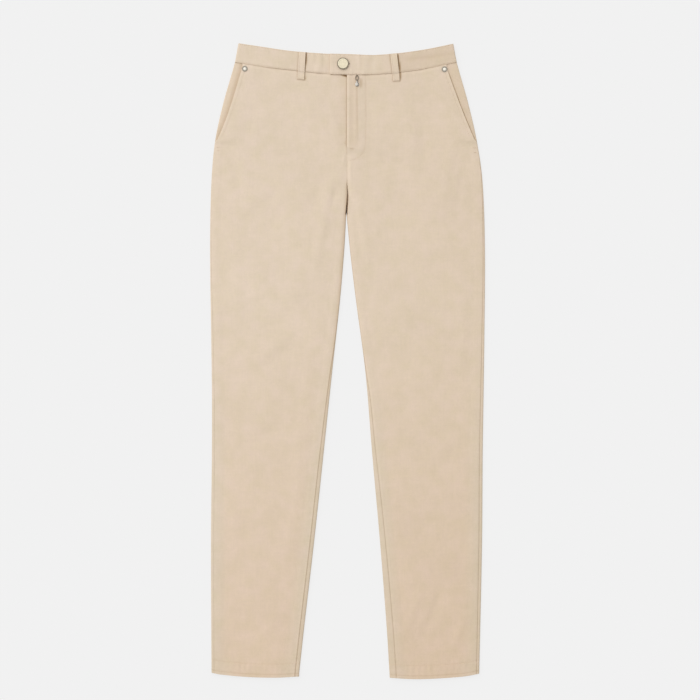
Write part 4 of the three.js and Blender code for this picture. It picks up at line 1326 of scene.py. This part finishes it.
# A tint that grows from one place to another along an axis of the garment, in metres
def drift(tree, coordinates, axis, start, end, tint):
    split = tree.nodes.new("ShaderNodeSeparateXYZ")
    tree.links.new(coordinates, split.inputs[0])
    share = math_node(
        tree, "DIVIDE", math_node(tree, "SUBTRACT", split.outputs[axis], start), end - start, clamp=True
    )
    return mix_colours(tree, share, (1.0, 1.0, 1.0), tint)


# Noise about zero, times an amount
def unevenness(tree, coordinates, size_mm, amount, detail=2.0, rough=0.5):
    centred = math_node(tree, "SUBTRACT", noise_node(tree, coordinates, size_mm, detail, rough), 0.5)
    return math_node(tree, "MULTIPLY", centred, amount)


def stretched(tree, coordinates, x, y):
    mapping = tree.nodes.new("ShaderNodeMapping")
    mapping.inputs["Scale"].default_value = (x, y, 1)
    tree.links.new(coordinates, mapping.inputs["Vector"])
    return mapping.outputs["Vector"]


def twill(name, colour, mottle=1.0, ribs=0.7):
    material, tree, shader = node_tree(name)
    coordinates = tree.nodes.new("ShaderNodeTexCoord").outputs["Object"]
    fine = noise_node(tree, coordinates, 0.5, 2)
    rib = rib_node(tree, coordinates, ribs, 58)
    yarn = rib_node(tree, coordinates, ribs * 0.8, -32)
    # Lighter on rubbed edges and where highlights are painted on lit ridges
    tone = math_node(tree, "MULTIPLY", attribute_node(tree, "wear"), 0.055)
    for size_mm, amount in ((75, 0.07), (20, 0.08), (6, 0.07), (2.4, 0.06)):
        tone = math_node(tree, "ADD", tone, unevenness(tree, coordinates, size_mm, amount * mottle))
    for stretch_x, stretch_y, amount in ((1, 0.09, 0.06), (0.09, 1, 0.045)):
        slubs = stretched(tree, coordinates, stretch_x, stretch_y)
        tone = math_node(tree, "ADD", tone, unevenness(tree, slubs, 2.2, amount * mottle))
    tone = math_node(
        tree, "ADD", tone, math_node(tree, "MULTIPLY", math_node(tree, "SUBTRACT", rib, 0.5), 0.05)
    )
    tone = math_node(tree, "ADD", tone, 1.0)
    yellowish = tinted(colour, (0.99, 0.998, 0.965))
    pinkish = tinted(colour, (1.01, 1.002, 1.035))
    hue = math_node(tree, "MULTIPLY", unevenness(tree, coordinates, 20, 1, 3), 2.2)
    hue = math_node(tree, "ADD", hue, 0.5, clamp=True)
    cloth_colour = mix_colours(tree, hue, yellowish, pinkish)
    # Darker and yellower towards the hems
    cloth_colour = multiply_colours(
        tree, cloth_colour, drift(tree, coordinates, 1, 0.1, -0.54, LOWER_LEG_TINT)
    )
    # Painted shade: the cloth darker towards the left leg, away from the key light
    cloth_colour = multiply_colours(
        tree, cloth_colour, drift(tree, coordinates, 0, -0.16, 0.18, LEFT_LEG_PAINTED_SHADE_TINT)
    )
    pale = mix_colours(tree, attribute_node(tree, "pale"), (1.0, 1.0, 1.0), PALE_TINT)
    cloth_colour = multiply_colours(tree, cloth_colour, pale)
    scaled = tree.nodes.new("ShaderNodeVectorMath")
    scaled.operation = "SCALE"
    tree.links.new(cloth_colour, scaled.inputs[0])
    tree.links.new(tone, scaled.inputs["Scale"])
    # Browner and darker with the crease attribute: the seam lines' own dark joint with painted shade, and
    # the painted shade and shadows in the crevice, by the loops, under overlaps and towards folded edges
    shade = tree.nodes.new("ShaderNodeCombineXYZ")
    for channel, tint in enumerate(SEAM_AND_PAINTED_SHADE_TINT):
        power = math_node(tree, "POWER", tint, attribute_node(tree, "crease"))
        tree.links.new(power, shade.inputs[channel])
    shaded = multiply_colours(tree, scaled.outputs["Vector"], shade.outputs["Vector"])
    tree.links.new(shaded, shader.inputs["Base Color"])
    height = math_node(
        tree, "ADD", math_node(tree, "MULTIPLY", rib, 0.7), math_node(tree, "MULTIPLY", yarn, 0.3)
    )
    height = math_node(tree, "ADD", height, math_node(tree, "MULTIPLY", fine, 0.8))
    raised = tree.nodes.new("ShaderNodeBump")
    raised.inputs["Strength"].default_value = 0.5
    raised.inputs["Distance"].default_value = 0.1 * MM
    tree.links.new(height, raised.inputs["Height"])
    tree.links.new(raised.outputs["Normal"], shader.inputs["Normal"])
    shader.inputs["Roughness"].default_value = 0.92
    shader.inputs["Specular IOR Level"].default_value = 0.25
    shader.inputs["Sheen Weight"].default_value = 0.12
    shader.inputs["Sheen Roughness"].default_value = 0.5
    return material


def plain(name, colour, roughness, metallic=0.0, mottle=0.0, size_mm=4):
    material, tree, shader = node_tree(name)
    shader.inputs["Metallic"].default_value = metallic
    coordinates = tree.nodes.new("ShaderNodeTexCoord").outputs["Object"]
    spots = noise_node(tree, coordinates, size_mm, 3)
    tone = math_node(
        tree, "ADD", math_node(tree, "MULTIPLY", math_node(tree, "SUBTRACT", spots, 0.5), mottle), 1.0
    )
    scaled = tree.nodes.new("ShaderNodeVectorMath")
    scaled.operation = "SCALE"
    scaled.inputs[0].default_value = colour
    tree.links.new(tone, scaled.inputs["Scale"])
    tree.links.new(scaled.outputs["Vector"], shader.inputs["Base Color"])
    rough = math_node(
        tree, "ADD", math_node(tree, "MULTIPLY", math_node(tree, "SUBTRACT", spots, 0.5), 0.2), roughness
    )
    tree.links.new(rough, shader.inputs["Roughness"])
    return material


# How much browner each unit of the crease attribute makes the cloth, for its dark seam lines and all its
# painted shade
SEAM_AND_PAINTED_SHADE_TINT = (0.7, 0.632, 0.55)
LOWER_LEG_TINT = (0.945, 0.892, 0.852)
# Painted shade across the garment towards the left leg
LEFT_LEG_PAINTED_SHADE_TINT = (0.96, 0.95, 0.932)
PALE_TINT = (0.965, 1.01, 1.02)
MATERIALS = {
    "twill": twill("garment_dyed_twill", (0.69, 0.572, 0.447)),
    "facing": twill("pocket_twill", (0.678, 0.553, 0.422)),
    "thread": plain("sewing_thread", (0.62, 0.49, 0.36), 0.7),
    "rim": plain("dark_horn_rim", (0.3, 0.26, 0.2), 0.4, 0.5, 0.3, 3),
    "ivory": plain("pale_button_face", (0.74, 0.66, 0.48), 0.45, 0.0, 0.5, 1.6),
    "rivet": plain("dark_rivet_ring", (0.33, 0.3, 0.25), 0.55, 0.25, 0.15, 1),
    # Painted highlight on the top of each rivet's centre, as a bright material
    "rivet_painted_highlight": plain("bright_rivet_centre", (0.86, 0.82, 0.72), 0.45, 0.0, 0.1, 1),
    "charm": plain("worn_silver", (0.36, 0.34, 0.31), 0.25, 1.0, 1.8, 1.6),
    "charm_wire": plain("blackened_wire", (0.17, 0.14, 0.11), 0.35, 0.7, 0.4, 1.5),
}


def finish_piece(obj, material, body="trousers", replaces=None):
    obj.data.materials.append(MATERIALS[material])
    if replaces:
        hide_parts(replaces)
    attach(obj, body)
    return obj


made = {}


def add_cloth(obj, node, material="twill"):
    made[node] = finish_piece(obj, material, replaces=node)


for leg in LEGS:
    add_cloth(front(leg), "front_" + leg.name)
    add_cloth(back(leg), "back_" + leg.name)
    add_cloth(pocket_facing(leg), "pocket_facing_" + leg.name, "facing")
    add_cloth(waistband(leg), "waistband_" + leg.name)
for loop in LOOPS:
    add_cloth(belt_loop(**loop), loop["name"])

# Places of the sewing
trees = {name: tree_of(obj) for name, obj in made.items()}


def sew(name, lines, on, **sizes):
    obj = stitches(name, lines, [trees[node] for node in on], **sizes)
    finish_piece(obj, "thread")


stitch_rows = (BAND_STITCH / BAND_HEIGHT, 1 - BAND_STITCH / BAND_HEIGHT)
for leg in LEGS:
    side = leg.side

    def inner_x(drop, inset):
        return side * (float(leg.inside_leg(drop)) + inset)

    def outer_x(drop, inset):
        return side * (float(leg.outline(drop)) - inset)

    us = np.linspace(inner_x(1055, 1), outer_x(1055, 1), 60)
    hem = [(x, float(hem_edge(x)) - HEM_DEPTH) for x in us]
    sew("hem_stitching_" + leg.name, [(hem, 1), (hem, -1)], ["front_" + leg.name, "back_" + leg.name])
    rows = np.linspace(float(waist_seam(side * 170)) + 6, MOUTH_DROP - 3, 50)
    mouth = [
        (side * (float(leg.mouth(row)) - MOUTH_STITCH), float(row_drop(row, side * leg.mouth(row))))
        for row in rows
    ]
    sew("mouth_stitching_" + leg.name, [(mouth, 1)], ["front_" + leg.name])
    xs = np.linspace(BAND_END[leg.name] + side * 2, outer_x(20, 4), 120)
    band = [([(x, float(band_drop(x, v))) for x in xs], 1) for v in stitch_rows]
    xs = np.linspace(CENTRE_X + side * 2, outer_x(20, 4), 120)
    band += [([(x, float(band_drop(x, v))) for x in xs], -1) for v in stitch_rows]
    sew("band_stitching_" + leg.name, band, ["waistband_" + leg.name])
turned_down = J_LINE.foot - (J_LINE.foot - J_LINE.turn) * np.linspace(1, 0.03, 60) ** 2
drops = np.concatenate([np.linspace(62, J_LINE.turn, 30)[:-1], turned_down])
sew("fly_stitching", [([(float(j_line(d)), d) for d in drops], 1)], ["front_left"])
close = dict(pitch=0.9, long=0.85, radius=0.34)
sew("fly_tack", [([(3.4, FLY_DROP + 1), (11, FLY_DROP + 1)], 1)], ["front_left"], **close)
for leg in LEGS:
    tacks = []
    for tack in MOUTH_TACKS[leg.name]:
        x, drop, half = leg.side * tack["u"], tack["drop"], tack["long"] / 2
        tacks.append(([(x - half, drop), (x + half, drop)], 1))
    sew("mouth_tack_" + leg.name, tacks, ["front_" + leg.name, "back_" + leg.name], **close)
for loop in LOOPS:
    side = 1 if loop["face"] == "front" else -1
    top, foot = loop["top_x"], loop["foot_x"]
    runs = []
    for offset in (-LOOP_WIDTH / 2 + 2.2, LOOP_WIDTH / 2 - 2.2):
        high = float(waist_top(top)) + 1
        low = float(waist_seam(foot)) + LOOP_TAIL - 1
        runs.append(([(top + offset, high), (foot + offset, low)], side))
    bar = float(waist_seam(foot)) + LOOP_TAIL - 2
    sew(
        loop["name"].replace("belt_loop", "loop_stitching"),
        runs + [([(foot - LOOP_WIDTH / 2 + 1, bar), (foot + LOOP_WIDTH / 2 - 1, bar)], side)],
        [loop["name"]],
    )

# Button, rivets and charm
on_band = float(band_height(LEGS[1], np.array(BUTTON.x))) + GAP
foot = float(band_height(LEGS[0], np.array(BUTTON.x)) - band_height(LEGS[1], np.array(BUTTON.x)))
recess = BUTTON.face + GAP
height = BUTTON.height
rim_profile = [
    (0.02, foot),
    (BUTTON.shank, foot),
    (BUTTON.shank, 0),
    (BUTTON.rim - 1.2, 0),
    (BUTTON.rim - 0.5, 0.25),
    (BUTTON.rim - 0.12, 0.9),
    (BUTTON.rim, height / 2),
    (BUTTON.rim - 0.12, height - 0.8),
    (BUTTON.rim - 0.4, height - 0.25),
    (BUTTON.rim - 0.7, height - 0.1),
    (recess, height - 0.3),
    (recess, BUTTON.lip),
    (0.02, BUTTON.lip),
]
finish_piece(
    turned("button_rim_fine", rim_profile, BUTTON.x, BUTTON.drop, on_band),
    "rim",
    replaces="button",
)
face_profile = [
    (0.02, BUTTON.lip + GAP),
    (BUTTON.face, BUTTON.lip + GAP),
    (BUTTON.face, height - 0.5),
    (BUTTON.face - 0.25, height - 0.15),
    (BUTTON.face - 0.8, height + 0.02),
    (BUTTON.face - 1.6, height + 0.05),
    (BUTTON.face - 2.2, height),
    (BUTTON.face - 2.6, height - 0.2),
    (BUTTON.face - 3.1, height - 0.24),
    (BUTTON.face - 3.6, height - 0.12),
    (2.6, height - 0.06),
    (1.6, height - 0.14),
    (0.9, height - 0.06),
    (0.02, height - 0.05),
]
finish_piece(
    turned("button_face_fine", face_profile, BUTTON.x, BUTTON.drop, on_band),
    "ivory",
    replaces="button_face",
)
r, h = RIVET.radius, RIVET.height
rivet_profile = [
    (0.02, 0),
    (r, 0),
    (r, 0.3 * h),
    (0.97 * r, 0.55 * h),
    (0.9 * r, 0.74 * h),
    (0.8 * r, 0.82 * h),
    (0.68 * r, 0.78 * h),
    (0.58 * r, 0.6 * h),
    (0.52 * r, 0.48 * h),
    (0.46 * r, 0.6 * h),
    (0.42 * r, 0.84 * h),
    (0.32 * r, 0.96 * h),
    (0.18 * r, h),
    (0.02, h),
]
for spot in RIVETS:
    base = surface(spot["x"], spot["drop"]) + GAP
    fine = turned(spot["name"] + "_fine", rivet_profile, spot["x"], spot["drop"], base)
    finish_piece(fine, "rivet", replaces=spot["name"])
    # The top faces near each rivet's middle take the painted highlight
    fine.data.materials.append(MATERIALS["rivet_painted_highlight"])
    middle = Vector(((spot["x"] - MIDDLE_X) * MM, (LENGTH / 2 - spot["drop"]) * MM, 0))
    for polygon in fine.data.polygons:
        away = polygon.center - middle
        near = math.hypot(away.x, away.y) < 0.5 * RIVET.radius * MM
        polygon.material_index = 1 if near and polygon.normal.z > 0 else 0

hinge_y = LENGTH / 2 - CHARM.eye_drop
hinge_z = surface(CHARM.x, CHARM.eye_drop) + CHARM.lift
bend = CHARM.wire * 2 + GAP + 0.1
feet = hinge_z - (CHARM.lift - GAP)
bow = [math.radians(a) for a in range(0, 181, 12)]
eye = [(CHARM.x, hinge_y + bend, z) for z in np.linspace(feet, hinge_z, 4)[:-1]]
eye += [(CHARM.x, hinge_y + bend * math.cos(a), hinge_z + bend * math.sin(a)) for a in bow]
eye += [(CHARM.x, hinge_y - bend, z) for z in np.linspace(hinge_z, feet, 4)[1:]]
finish_piece(
    wire("charm_eye_fine", eye, CHARM.wire, False, flat=(1, 0, 0)),
    "charm_wire",
    replaces="charm_eye",
)
corners = [
    (RING.width / 2 - RING.corner, -RING.corner, 0),
    (-RING.width / 2 + RING.corner, -RING.corner, 90),
    (-RING.width / 2 + RING.corner, -RING.length + RING.corner, 180),
    (RING.width / 2 - RING.corner, -RING.length + RING.corner, 270),
]
ring = [
    (
        CHARM.x + x + RING.corner * math.cos(math.radians(turn + step)),
        hinge_y + y + RING.corner * math.sin(math.radians(turn + step)),
        hinge_z,
    )
    for x, y, turn in corners
    for step in range(0, 91, 10)
]
finish_piece(
    wire("charm_ring_fine", ring, CHARM.wire, True), "charm_wire", "charm_ring", "charm_ring"
)


# The drop: a flat plate, narrow at its top, rounded at its foot
def drop_plate():
    levels = [(0.3, 0), (0.1, 0.08), (0, 0.25), (0, 0.5), (0, 0.75), (0.1, 0.92), (0.3, 1), (1.6, 1.12)]
    turn = np.radians(np.linspace(180, 360, 25))
    half, neck = DROP.width / 2, DROP.neck / 2
    base_y = -DROP.top - DROP.length + half
    t = np.linspace(0, 1, 13)

    def bezier(a, b, c, d):
        return a * (1 - t) ** 3 + 3 * b * t * (1 - t) ** 2 + 3 * c * t * t * (1 - t) + d * t**3

    side_x = bezier(-neck, -neck, -half, -half)
    side_y = bezier(-DROP.top, -DROP.top - 3, -DROP.top - 4, base_y)
    x = np.concatenate([side_x, half * np.cos(turn)[1:-1], -side_x[::-1]])
    y = np.concatenate([side_y, base_y + half * np.sin(turn)[1:-1], side_y[::-1]])
    centre = np.array([0, base_y + 1.0])
    points = []
    count = len(x)
    y0 = hinge_y - RING.length
    z0 = hinge_z - CHARM.lift + GAP
    for inset, level in levels:
        away = np.stack([x, y], 1) - centre
        reach = np.linalg.norm(away, axis=1, keepdims=True)
        spots = centre + away * np.maximum(1 - inset / reach, 0.3)
        z = np.full(count, z0 + level * DROP.thickness)
        points.append(np.column_stack([CHARM.x + spots[:, 0], y0 + spots[:, 1], z]))
    return mesh_object("charm_drop_fine", np.concatenate(points), tube_faces(len(levels), count))


finish_piece(drop_plate(), "charm", "charm_drop", "charm_drop")
turn = np.linspace(0, 2 * math.pi, 28, endpoint=False)
loop_points = [
    (CHARM.x, hinge_y - RING.length + DROP.eye * math.cos(a), hinge_z + DROP.eye * math.sin(a))
    for a in turn
]
finish_piece(
    wire("charm_drop_eye", loop_points, DROP.eye_wire, True, flat=(1, 0, 0)), "charm", "charm_drop"
)

# Floor, light and camera
WORLD_LIGHT = 0.66
KEY_LIGHT = 1.72
FLOOR_COLOUR = 0.14
FLOOR_GLOW = 0.725
floor_mesh = bpy.data.meshes.new("floor")
reach = 6.0
floor_mesh.from_pydata(
    [(-reach, -reach, 0), (reach, -reach, 0), (reach, reach, 0), (-reach, reach, 0)], [], [(0, 1, 2, 3)]
)
floor = bpy.data.objects.new("floor", floor_mesh)
bpy.context.scene.collection.objects.link(floor)
floor.location.z = -0.0002
floor_material, _, floor_shader = node_tree("pale_floor")
floor_shader.inputs["Base Color"].default_value = (FLOOR_COLOUR, FLOOR_COLOUR, FLOOR_COLOUR, 1)
floor_shader.inputs["Emission Color"].default_value = (1, 1, 1, 1)
floor_shader.inputs["Emission Strength"].default_value = FLOOR_GLOW
floor_shader.inputs["Roughness"].default_value = 0.9
floor_shader.inputs["Specular IOR Level"].default_value = 0.1
floor_mesh.materials.append(floor_material)
floor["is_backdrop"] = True

low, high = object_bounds()

world = bpy.data.worlds.new("soft_world")
bpy.context.scene.world = world
world.use_nodes = True
world.node_tree.nodes["Background"].inputs["Color"].default_value = (1, 1, 1, 1)
world.node_tree.nodes["Background"].inputs["Strength"].default_value = WORLD_LIGHT

light_data = bpy.data.lights.new("soft_key", "SUN")
light_data.angle = math.radians(75)
light_data.energy = KEY_LIGHT
key = bpy.data.objects.new("soft_key", light_data)
key.location = (-2.3, 2.3, 4.0)
key.rotation_euler = (-key.location).to_track_quat("-Z", "Y").to_euler()
bpy.context.scene.collection.objects.link(key)

camera_data = bpy.data.cameras.new("camera")
camera = bpy.data.objects.new("camera", camera_data)
bpy.context.scene.collection.objects.link(camera)
camera_data.sensor_width = 36
distance = 2.8
view_width = 1.19
camera_data.lens = camera_data.sensor_width * distance / view_width
camera.location = (0.00415, 0.0189, distance + 0.005)
camera.rotation_euler = (0, 0, 0)
bpy.context.scene.camera = camera
bpy.context.scene.view_settings.view_transform = "Standard"
